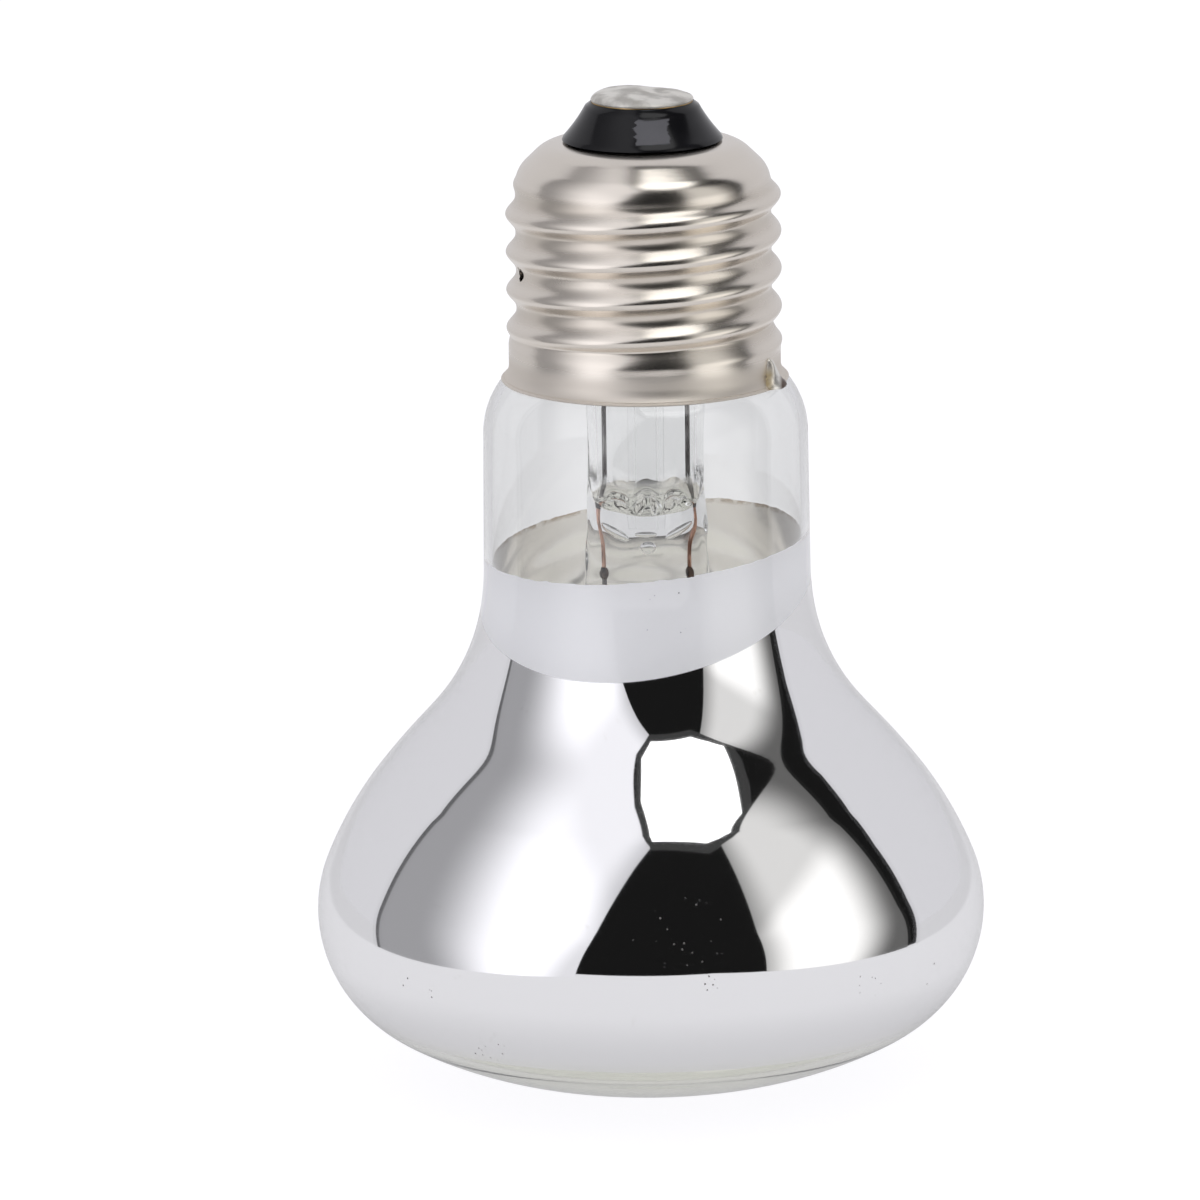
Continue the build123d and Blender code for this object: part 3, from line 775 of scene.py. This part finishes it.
class HEATBULB_OT_screw_shell(bpy.types.Operator):
    """Roll the screw shell: rim, skirt, right-hand thread with run-outs, dome and vent"""

    bl_idname = "heat_bulb.screw_shell"
    bl_label = "Screw shell"

    def execute(self, context):
        cap = context.scene.heat_bulb_cap
        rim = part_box("cap_shell")[0].z
        root = cap.crest_radius - cap.thread_depth
        mesh = spun(cap_outline(cap, rim), segments=216)
        skirt_top = rim + cap.skirt_height
        barrel_top = rim + cap.barrel_height
        across = Vector((math.cos(cap.vent_azimuth), math.sin(cap.vent_azimuth), 0))
        vent = across * (root + 0.2 * MM) + UP * (rim + cap.vent_height)
        plain_below = skirt_top - THREAD_LEAD + 0.01 * MM
        plain_above = barrel_top + 1.5 * MM
        for vert in mesh.verts:
            height = vert.co.z
            if not plain_below < height < plain_above:
                continue
            radius = math.hypot(vert.co.x, vert.co.y)
            turn = math.atan2(vert.co.y, vert.co.x) / math.tau
            phase = (height - rim - cap.crest_height) / cap.pitch - turn
            wave = 0.5 + 0.5 * math.cos(math.tau * phase)
            fade = 1 - smooth_step(*THREAD_END, height - barrel_top)
            start = smooth_step(*THREAD_START, height - skirt_top)
            rise = wave ** CREST_POWER * cap.thread_depth * fade * start
            shoulder = 1 - smooth_step(*SHOULDER, height - skirt_top)
            skirt = (cap.skirt_radius - root) * shoulder
            blend = math.sqrt((rise - skirt) ** 2 + RUN_OUT_BLEND * rise * skirt)
            grow = (rise + skirt + blend) / 2
            scale = (radius + grow) / radius
            vert.co.x *= scale
            vert.co.y *= scale
        punch(mesh, vent, cap.vent_radius)
        bmesh.ops.solidify(mesh, geom=mesh.faces[:], thickness=cap.sheet)
        piece("screw_shell", mesh, nickel_material(cap, vent, rim), "cap_metal", "cap_shell")
        return {"FINISHED"}


CONE_HOLLOW = 16 * MM
CONE_HEADING = math.radians(132)
CONE_TURN = math.radians(-13)


class HEATBULB_OT_insulator(bpy.types.Operator):
    """Mould the black insulator with its hollow cone and soft edges"""

    bl_idname = "heat_bulb.insulator"
    bl_label = "Insulator"

    def execute(self, context):
        cap = context.scene.heat_bulb_cap
        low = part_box("cap_shell")[1].z
        bottom, top = (corner.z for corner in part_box("cap_insulator"))
        foot, edge = cap.insulator_foot, cap.insulator_top
        base = Outline(0, bottom)
        base.to(cap.crest_radius - cap.thread_depth - cap.sheet - 0.2 * MM, bottom)
        base.to(cap.opening - 0.3 * MM, low - 0.4 * MM)
        base.to(cap.opening - 0.1 * MM, low + 0.02 * MM)
        base.to(foot - 0.2 * MM, low + 0.02 * MM)
        base.to(foot, low + 0.16 * MM)
        base.to(foot - 0.1 * MM, low + 0.4 * MM)
        base.heading = CONE_HEADING
        base.arc(CONE_HOLLOW, CONE_TURN, steps=12)
        base.to(edge + 0.15 * MM, top - 0.16 * MM)
        base.to(edge, top)
        base.to(0, top)
        mesh = spun(base.points, segments=128)
        finish = insulator_material(cap.insulator, (low + top) / 2)
        piece("insulator", mesh, finish, "insulator_glass", "cap_insulator")
        return {"FINISHED"}


class HEATBULB_OT_contact(bpy.types.Operator):
    """Finish the contact plate and drop the uneven solder dome on it"""

    bl_idname = "heat_bulb.contact"
    bl_label = "Centre contact"

    def execute(self, context):
        cap = context.scene.heat_bulb_cap
        paint_node("centre_contact", brass_material(cap.brass))
        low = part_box("centre_contact")[1].z
        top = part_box("contact_solder")[1].z
        reach = cap.solder_reach
        dome = Outline(0, low - 0.22 * MM)
        dome.to(reach, low - 0.22 * MM)
        dome.to(reach + 0.06 * MM, low - 0.08 * MM)
        steps = 24
        for i in range(1, steps + 1):
            slope = i / steps * math.pi / 2
            dome.to(reach * math.cos(slope), low + (top - low - 0.12 * MM) * math.sin(slope))
        mesh = spun(dome.points, segments=96)
        lean = 0.035
        for vert in mesh.verts:
            lift = smooth_step(low, low + 0.4 * MM, vert.co.z)
            vert.co += wander(vert.co, scale=380, size=0.22 * MM) * lift
            vert.co.z = min(vert.co.z - lean * vert.co.x * lift, top)
        piece("contact_solder_dome", mesh, solder_material(cap.solder), "solder", "contact_solder")
        return {"FINISHED"}


SOLDER_TENT = (
    (0.0, 1.6 * MM),
    (0.1, 1.65 * MM),
    (0.3, 1.25 * MM),
    (0.55, 0.85 * MM),
    (0.8, 0.6 * MM),
    (0.94, 0.42 * MM),
)


class HEATBULB_OT_rim_solder(bpy.types.Operator):
    """Build the tent of solder and flux over the lead's end at the rim"""

    bl_idname = "heat_bulb.rim_solder"
    bl_label = "Rim solder"

    def execute(self, context):
        cap = context.scene.heat_bulb_cap
        low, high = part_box("side_solder")
        middle = (low + high) / 2
        foot = Vector((middle.x, middle.y, 0)).normalized() * (cap.skirt_radius - 0.1 * MM)
        tent = Outline(0, low.z)
        for share, reach in SOLDER_TENT:
            tent.to(reach, low.z + share * (high.z - low.z))
        tent.to(0, high.z)
        mesh = spun(tent.points, segments=40)
        bmesh.ops.subdivide_edges(mesh, edges=mesh.edges[:], cuts=1, use_grid_fill=True, smooth=0.6)
        bmesh.ops.translate(mesh, verts=mesh.verts, vec=foot)
        for vert in mesh.verts:
            vert.co += wander(vert.co, scale=900, size=0.16 * MM)
            vert.co.z = min(max(vert.co.z, low.z), high.z)
        piece("rim_solder", mesh, rim_solder_material(cap, low, high), "solder", "side_solder")
        return {"FINISHED"}


LOBE_PITCH = 2.6 * MM
FOLD_TWIST = 40 / MM


def rounded_ring(mesh, half_width, half_depth, height, squareness=2, folds=0, fold_size=0, lobes=0):
    """One closed ring, from a circle to a flat rounded bar, with folds and with lobes along x."""
    made = bmesh.ops.create_circle(mesh, segments=96, radius=1.0)
    power = 2 / squareness
    for vert in made["verts"]:
        turn = math.atan2(vert.co.y, vert.co.x)
        wave = 1 + fold_size * math.cos(folds * turn + FOLD_TWIST * height)
        cosine, sine = math.cos(turn), math.sin(turn)
        vert.co.x = half_width * wave * math.copysign(abs(cosine) ** power, cosine)
        vert.co.y = half_depth * wave * math.copysign(abs(sine) ** power, sine)
        tooth = math.cos(math.tau * vert.co.x / LOBE_PITCH)
        vert.co.z = height + lobes * tooth * (1.5 - 0.5 * tooth * tooth)
    return [edge for edge in mesh.edges if all(vert in made["verts"] for vert in edge.verts)]


def bridged(mesh, rings):
    """Skins a run of rings."""
    for low, high in zip(rings, rings[1:]):
        bmesh.ops.bridge_loops(mesh, edges=low + high)


BUBBLES = (
    ((0.1 * MM, -0.6 * MM, 51.4 * MM), (0.8 * MM, 0.7 * MM, 0.65 * MM), 0),
    ((-0.1 * MM, -0.9 * MM, 52.9 * MM), (1.1 * MM, 0.5 * MM, 0.35 * MM), 0),
    ((-2.9 * MM, -1.0 * MM, 53.1 * MM), (1.5 * MM, 0.5 * MM, 0.5 * MM), 35),
    ((2.9 * MM, -1.0 * MM, 53.2 * MM), (1.4 * MM, 0.5 * MM, 0.45 * MM), -35),
)


class HEATBULB_OT_stem(bpy.types.Operator):
    """Press the glass stem: flare, tube, folded crown and flat press"""

    bl_idname = "heat_bulb.stem"
    bl_label = "Glass stem"

    def execute(self, context):
        stem = context.scene.heat_bulb_stem
        low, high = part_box("stem_tube")
        press_top = low.z + stem.press_height
        flare = stem.flare_radius
        outer, bore = stem.tube_radius, stem.tube_radius - stem.tube_wall
        width, depth = stem.press_width, stem.press_depth
        mesh = bmesh.new()
        outer_sizes = (
            (width * 0.96, depth * 0.8, low.z, 3),
            (width, depth, low.z + 0.6 * MM, 3),
            (width * 0.97, depth, low.z + 2.5 * MM, 3, 6, 0.015),
            (width * 0.97, depth * 1.04, press_top - 1.5 * MM, 2.8, 5, 0.03),
            (width * 0.95, depth * 1.25, press_top, 2.6, 7, 0.035),
            (outer * 1.02, depth * 1.75, press_top + 1.6 * MM, 2.4, 7, 0.03),
            (outer, outer * 0.8, press_top + 3.2 * MM, 2.2, 9, 0.02),
            (outer, outer * 0.97, press_top + 4.6 * MM, 2, 9, 0.008),
            (outer, outer, press_top + 6 * MM),
            (outer, outer, high.z - 5 * MM),
            (flare, flare, high.z - 1.1 * MM),
        )
        inner_sizes = (
            (bore * 0.45, 0.25 * MM, press_top + 2.0 * MM, 0.08 * MM),
            (bore * 0.84, 0.8 * MM, press_top + 2.5 * MM, 0.18 * MM),
            (bore * 0.97, bore * 0.42, press_top + 3.2 * MM, 0.22 * MM),
            (bore, bore * 0.75, press_top + 4.1 * MM, 0.15 * MM),
            (bore, bore * 0.97, press_top + 5.1 * MM, 0.05 * MM),
            (bore, bore, press_top + 6.2 * MM, 0),
            (bore, bore, high.z - 4.6 * MM, 0),
            (flare, flare, high.z, 0),
        )
        outside = [rounded_ring(mesh, *sizes) for sizes in outer_sizes]
        inside = [rounded_ring(mesh, *sizes, lobes=lobes) for *sizes, lobes in inner_sizes]
        bridged(mesh, outside)
        bridged(mesh, inside)
        bmesh.ops.bridge_loops(mesh, edges=outside[-1] + inside[-1])
        bmesh.ops.contextual_create(mesh, geom=outside[0])
        bmesh.ops.contextual_create(mesh, geom=inside[0])
        bmesh.ops.recalc_face_normals(mesh, faces=mesh.faces)
        for vert in mesh.verts:
            soft = 1 - smooth_step(press_top + 4 * MM, press_top + 6 * MM, vert.co.z)
            vert.co += wander(vert.co, scale=480, size=0.2 * MM) * soft
        for middle, size, tilt in BUBBLES:
            ball = bmesh.ops.create_uvsphere(mesh, u_segments=20, v_segments=12, radius=1.0)["verts"]
            bmesh.ops.scale(mesh, vec=size, verts=ball)
            bmesh.ops.rotate(mesh, matrix=Matrix.Rotation(math.radians(tilt), 3, "Y"), verts=ball)
            bmesh.ops.translate(mesh, vec=middle, verts=ball)
            skin = {face for vert in ball for face in vert.link_faces}
            bmesh.ops.reverse_faces(mesh, faces=list(skin))
        finish = stem_glass_material(stem.glass, press_top + 5.4 * MM)
        made = piece("stem_glass", mesh, finish, "stem_glass", "stem_tube")
        smooth = made.modifiers.new("smooth", "SUBSURF")
        smooth.levels = smooth.render_levels = 2
        paint_node("exhaust_tube", faint_glass_material(stem.glass))
        paint_node("support_rod", finish)
        return {"FINISHED"}


def tube(name, points, radius, finish, slot, *nodes):
    """A round wire through points, as a mesh, standing for CAD nodes."""
    line = bpy.data.curves.new(name + "_line", "CURVE")
    line.dimensions = "3D"
    line.bevel_depth = radius
    line.bevel_resolution = 4
    line.use_fill_caps = True
    spline = line.splines.new("NURBS")
    spline.points.add(len(points) - 1)
    for control, point in zip(spline.points, points):
        control.co = (*point, 1)
    spline.order_u = 3
    spline.use_endpoint_u = True
    spline.resolution_u = 6
    guide = linked(name + "_line", line)
    bpy.context.view_layer.update()
    drawn = guide.evaluated_get(bpy.context.evaluated_depsgraph_get())
    data = bpy.data.meshes.new_from_object(drawn)
    bpy.data.objects.remove(guide)
    mesh = bmesh.new()
    mesh.from_mesh(data)
    bpy.data.meshes.remove(data)
    bmesh.ops.remove_doubles(mesh, verts=mesh.verts, dist=MERGE_REACH)
    bmesh.ops.recalc_face_normals(mesh, faces=mesh.faces)
    return piece(name, mesh, finish, slot, *nodes)


class HEATBULB_OT_leads(bpy.types.Operator):
    """Finish the leads above and below the press, and bend the copper wires sealed in it"""

    bl_idname = "heat_bulb.leads"
    bl_label = "Leads"

    def execute(self, context):
        stem = context.scene.heat_bulb_stem
        lead = wire_material("lead_wire", stem.lead, DARK_LEAD, scale=900)
        copper = wire_material("copper_wire", stem.copper, DARK_COPPER, scale=1500)
        for node in ("contact_lead", "side_lead", "inner_lead_left", "inner_lead_right"):
            paint_node(node, lead)
        for side, way in (("left", -1), ("right", 1)):
            node = "seal_wire_" + side
            low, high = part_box(node)
            middle = (low + high) / 2
            kink = Vector((way * 0.3 * MM, -0.2 * MM, 0))
            bends = (
                (low.z, 0),
                (low.z + 2.6 * MM, 0),
                (low.z + 3.4 * MM, 0.2),
                (low.z + 4.8 * MM, 0.9),
                (high.z - 0.9 * MM, 1),
                (high.z, 0),
            )
            route = [Vector((middle.x, middle.y, height)) + kink * share for height, share in bends]
            thin = stem.wire_radius * 0.8
            tube("seal_wire_copper_" + side, route, thin, copper, "seal_copper", node)
            knot = bmesh.new()
            thick = stem.wire_radius * 1.7
            bmesh.ops.create_uvsphere(knot, u_segments=24, v_segments=16, radius=thick)
            bmesh.ops.scale(knot, vec=(1, 1, 1.7), verts=knot.verts)
            bmesh.ops.translate(knot, vec=(middle.x, middle.y, low.z + 0.1 * MM), verts=knot.verts)
            for vert in knot.verts:
                vert.co += wander(vert.co, scale=2600, size=0.1 * MM)
            dark = wire_material("weld_knot_" + side, WELD, DARK_WELD, scale=1800)
            piece("weld_knot_" + side, knot, dark, "lead_metal")
        return {"FINISHED"}


class HEATBULB_OT_filament(bpy.types.Operator):
    """Wind the filament's coil from lead to lead and finish its supports"""

    bl_idname = "heat_bulb.filament"
    bl_label = "Filament"

    def execute(self, context):
        stem = context.scene.heat_bulb_stem
        low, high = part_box("filament")
        height = (low.z + high.z) / 2
        reach = stem.coil_reach
        thirds = [i * math.pi / 3 for i in range(4)]
        corners = [Vector((reach * math.cos(turn), reach * math.sin(turn), height)) for turn in thirds]
        corners[0].y = corners[3].y = 0.42 * MM
        turn_steps = 10
        route = []
        for start, end in zip(corners, corners[1:]):
            along = (end - start).normalized()
            side = along.cross(UP)
            count = int((end - start).length / stem.coil_pitch) * turn_steps
            for i in range(count):
                turn = math.tau * i / turn_steps
                offset = side * math.cos(turn) + UP * math.sin(turn)
                route.append(start.lerp(end, i / count) + offset * stem.coil_radius)
        tungsten = wire_material("filament_wire", stem.filament, DARK_FILAMENT, scale=2500)
        coil = tube("filament_coil", route, stem.strand_radius, tungsten, "filament_metal", "filament")
        coil.data.shade_smooth()
        support = wire_material("support_wire", SUPPORT, DARK_SUPPORT, scale=1500)
        for node in ("support_wire_1", "support_wire_2"):
            paint_node(node, support)
        return {"FINISHED"}


class HEATBULB_OT_cement(bpy.types.Operator):
    """Finish the cement that holds the neck in the cap"""

    bl_idname = "heat_bulb.cement"
    bl_label = "Cement"

    def execute(self, context):
        paint_node("cap_cement", cement_material(context.scene.heat_bulb_stem.cement))
        return {"FINISHED"}


LIGHT_PATHS = ("Is Camera Ray", "Is Glossy Ray", "Is Transmission Ray")


def shown(graph, camera, mirror, other):
    """A strength for what the camera sees, for what metal and glass show, and for plain light."""
    seen, shiny, through = (graph.node("ShaderNodeLightPath", {}, {}, name) for name in LIGHT_PATHS)
    either = shiny.maths("MAXIMUM", shiny, through)
    return seen * camera + (1 - seen) * (either * mirror + (1 - either) * other)


TENT_FRONT = -0.33
TENT_SIDE = 0.118
TENT_EDGE = 0.006


def table_material(studio):
    """White paper that glows a little, and less beyond the tent that stands round the bulb, with a
    painted shadow in its glow close round the bulb.
    """
    def shader(graph):
        across, along = graph.axis("X"), graph.axis("Y")
        left = across.ramp(-TENT_SIDE, TENT_EDGE - TENT_SIDE)
        right = 1 - across.ramp(TENT_SIDE, TENT_SIDE + TENT_EDGE)
        tent = left * right * along.ramp(TENT_FRONT, TENT_FRONT + TENT_EDGE)
        near = (across * across + along * along) ** 0.5
        # Painted shadow: the glow that mirrors show is dimmer close round the bulb.
        mirrored = (0.66 + tent * 0.13) * (0.85 + near.ramp(0.028, 0.047) * 0.15)
        paper = {"Base Color": rgba(studio.paper), "Roughness": 0.9}
        matte = graph.node("ShaderNodeBsdfPrincipled", {}, paper)
        light = {"Color": rgba(studio.floor), "Strength": shown(graph, 1.12, mirrored, 0.0)}
        glow = graph.node("ShaderNodeEmission", {}, light)
        share = shown(graph, 0.86, 0.86, 0.0)
        return graph.node("ShaderNodeMixShader", {}, {0: share, 1: matte, 2: glow})

    return shaded("table_paper", shader)


def left_cloth_glow(graph):
    """Grey towards its back edge, bright in the middle, a dark seam at the back."""
    along, height = graph.axis("Y"), graph.axis("Z")
    lit = 1 - (along - height * 0.3).ramp(-0.1, -0.031)
    seam = along.ramp(0.0085, 0.0105)
    fall = (1 - height.ramp(0.09, 0.15) * 0.25) * (1 - seam * 0.75)
    return (0.36 + lit * (0.46 + along.ramp(-0.165, -0.11) * 0.5)) * fall


def right_cloth_glow(graph):
    """Bright in its lower middle, fading to a dark back edge."""
    along, height = graph.axis("Y"), graph.axis("Z")
    bend = height - 0.09
    lit = 1 - (along + bend * bend * 2.5).ramp(-0.047, 0.0)
    return 0.13 + lit * (0.36 + along.ramp(-0.165, -0.105) * 0.66) * (1 - height.ramp(0.09, 0.12) * 0.4)


def even_glow(strength):
    """The same glow all over, a little uneven as cloth is."""
    return lambda graph: strength * (0.97 + graph.noise(30, 2) * 0.06)


def card_material(name, tone, glow):
    """A surface that only glows."""
    def shader(graph):
        return graph.node("ShaderNodeEmission", {}, {"Color": rgba(tone), "Strength": glow(graph)})

    return shaded(name, shader)


def card(name, corners, finish):
    """A flat card of the studio, which only mirrors and glass show."""
    mesh = bmesh.new()
    mesh.faces.new([mesh.verts.new(corner) for corner in corners])
    made = meshed(name, mesh, finish)
    made.visible_camera = False
    made.visible_diffuse = False
    made.visible_shadow = False


def level(height, spots):
    """Corners of a card that lies level."""
    return [(x, y, height) for x, y in spots]


def upright(x, spots):
    """Corners of a card that stands along y."""
    return [(x, y, z) for y, z in spots]


def set_table(studio):
    """A wide sheet of paper under the bulb."""
    mesh = bmesh.new()
    bmesh.ops.create_grid(mesh, x_segments=1, y_segments=1, size=3.0)
    table = meshed("table", mesh, table_material(studio))


WARM_WHITE = (1.0, 0.99, 0.975)
LAMP_GLOW = 1.8
HOOD_GLOW = 0.05
DARK_GLOW = 0.009
LAMP_HEIGHT = 0.3
HOOD_HEIGHT = 0.304
ROOF_HEIGHT = 0.36
CLOTH_SIDE = 0.12
FRAME_SIDE = 0.125
LEFT_CLOTH = (
    (-0.113, 0.013, 0),
    (-0.084, -0.185, 0),
    (-0.055, -0.155, 0.094),
    (-0.02, -0.158, 0.19),
    (0, -0.16, 0.24),
    (-0.018, -0.1, 0.214),
    (-0.02, -0.06, 0.215),
    (-0.045, 0.013, 0.19),
    (-0.083, 0.013, 0.085),
)
RIGHT_CLOTH = ((-0.004, 0), (-0.002, 0.165), (-0.075, 0.215), (-0.16, 0.275), (-0.16, 0))
LAMP = (
    (0.004, -0.178),
    (0.103, -0.174),
    (0.136, -0.14),
    (0.16, -0.107),
    (0.148, -0.075),
    (0.13, -0.03),
    (0, -0.03),
    (-0.012, -0.09),
    (-0.015, -0.13),
)
HOOD = (
    (-0.002, -0.205),
    (0.114, -0.202),
    (0.155, -0.155),
    (0.182, -0.107),
    (0.165, -0.02),
    (-0.02, -0.02),
    (-0.024, -0.135),
)
OPENING = ((-0.3, TENT_FRONT, 0), (0.4, TENT_FRONT, 0), (0.4, TENT_FRONT, 0.6), (-0.3, TENT_FRONT, 0.6))
FRAME = (
    (TENT_FRONT, 0),
    (0.006, 0),
    (0.012, 0.08),
    (0.025, 0.13),
    (0.02, 0.25),
    (-0.03, 0.25),
    (-0.06, 0.212),
    (-0.16, 0.278),
    (TENT_FRONT, 0.3),
)
ROOF = ((-0.06, TENT_FRONT), (0.45, TENT_FRONT), (0.45, 0.04), (-0.03, 0.04))


def set_cards(studio):
    """The lit cloths, the lamp above them and the dark round them."""
    left = card_material("left_cloth", studio.white, left_cloth_glow)
    card("left_cloth", LEFT_CLOTH, left)
    right = card_material("right_cloth", WARM_WHITE, right_cloth_glow)
    card("right_cloth", upright(CLOTH_SIDE, RIGHT_CLOTH), right)
    lamp = card_material("overhead_lamp", WHITE, even_glow(LAMP_GLOW))
    card("overhead_lamp", level(LAMP_HEIGHT, LAMP), lamp)
    hood = card_material("lamp_hood", WHITE, even_glow(HOOD_GLOW))
    card("lamp_hood", level(HOOD_HEIGHT, HOOD), hood)
    dark = card_material("dark_card", WHITE, even_glow(DARK_GLOW))
    card("front_opening", OPENING, dark)
    card("right_frame", upright(FRAME_SIDE, FRAME), dark)
    card("roof", level(ROOF_HEIGHT, ROOF), dark)


def set_sky(scene, studio):
    """White all round, dimmer in the mirror than to the camera."""
    world = bpy.data.worlds.new("white_sweep")
    scene.world = world
    graph = Graph(world)
    strength = shown(graph, 1.08, 0.715, 0.95)
    sky = graph.node("ShaderNodeBackground", {}, {"Color": rgba(studio.white), "Strength": strength})
    graph.end("ShaderNodeOutputWorld", sky)


SENSOR_WIDTH = 36
NEAREST = 0.05


def set_camera(scene, studio):
    """A long lens in front of the bulb and a little above it."""
    away = Vector((0, -math.cos(studio.elevation), math.sin(studio.elevation)))
    across = Vector((1, 0, 0))
    forward = -away - across * math.tan(studio.pan) - across.cross(-away) * math.tan(studio.dip)
    data = bpy.data.cameras.new("camera")
    data.lens = studio.lens
    data.sensor_width = SENSOR_WIDTH
    data.clip_start = NEAREST
    camera = linked("camera", data)
    turn = forward.to_track_quat("-Z", "Y").to_matrix().to_4x4()
    spot = UP * studio.aim_height + away * studio.distance
    camera.matrix_world = Matrix.Translation(spot) @ turn @ Matrix.Rotation(studio.roll, 4, "Z")
    scene.camera = camera


class HEATBULB_OT_stage(bpy.types.Operator):
    """Set the table, the lit cloths, the dark opening and the camera"""

    bl_idname = "heat_bulb.stage"
    bl_label = "Studio"

    def execute(self, context):
        studio = context.scene.heat_bulb_studio
        set_table(studio)
        set_cards(studio)
        set_sky(context.scene, studio)
        set_camera(context.scene, studio)
        context.scene.view_settings.view_transform = "Standard"
        return {"FINISHED"}


GROUPS = {
    "heat_bulb_glass": HeatBulbGlass,
    "heat_bulb_mirror": HeatBulbMirror,
    "heat_bulb_cap": HeatBulbCap,
    "heat_bulb_stem": HeatBulbStem,
    "heat_bulb_studio": HeatBulbStudio,
}
OPERATORS = (
    HEATBULB_OT_stage,
    HEATBULB_OT_glass,
    HEATBULB_OT_mirror,
    HEATBULB_OT_screw_shell,
    HEATBULB_OT_insulator,
    HEATBULB_OT_contact,
    HEATBULB_OT_rim_solder,
    HEATBULB_OT_stem,
    HEATBULB_OT_leads,
    HEATBULB_OT_filament,
    HEATBULB_OT_cement,
)


class HEATBULB_PT_panel(bpy.types.Panel):
    """Lists the bulb's pieces and their sizes"""

    bl_idname = "HEATBULB_PT_panel"
    bl_label = "Heat bulb"
    bl_space_type = "VIEW_3D"
    bl_region_type = "UI"
    bl_category = "Heat bulb"

    def draw(self, context):
        for operator in OPERATORS:
            self.layout.operator(operator.bl_idname)
        for name, group in GROUPS.items():
            box = self.layout.box()
            for key in group.__annotations__:
                box.prop(getattr(context.scene, name), key)


def register():
    for name, group in GROUPS.items():
        bpy.utils.register_class(group)
        setattr(bpy.types.Scene, name, bpy.props.PointerProperty(type=group))
    for operator in OPERATORS:
        bpy.utils.register_class(operator)
    bpy.utils.register_class(HEATBULB_PT_panel)


def unregister():
    bpy.utils.unregister_class(HEATBULB_PT_panel)
    for operator in reversed(OPERATORS):
        bpy.utils.unregister_class(operator)
    for name, group in reversed(GROUPS.items()):
        delattr(bpy.types.Scene, name)
        bpy.utils.unregister_class(group)


def main():
    noise.seed_set(NOISE_SEED)
    register()
    bpy.ops.heat_bulb.stage()
    bpy.ops.heat_bulb.glass()
    bpy.ops.heat_bulb.mirror()
    bpy.ops.heat_bulb.screw_shell()
    bpy.ops.heat_bulb.insulator()
    bpy.ops.heat_bulb.contact()
    bpy.ops.heat_bulb.rim_solder()
    bpy.ops.heat_bulb.stem()
    bpy.ops.heat_bulb.leads()
    bpy.ops.heat_bulb.filament()
    bpy.ops.heat_bulb.cement()


if __name__ == "__main__":
    main()
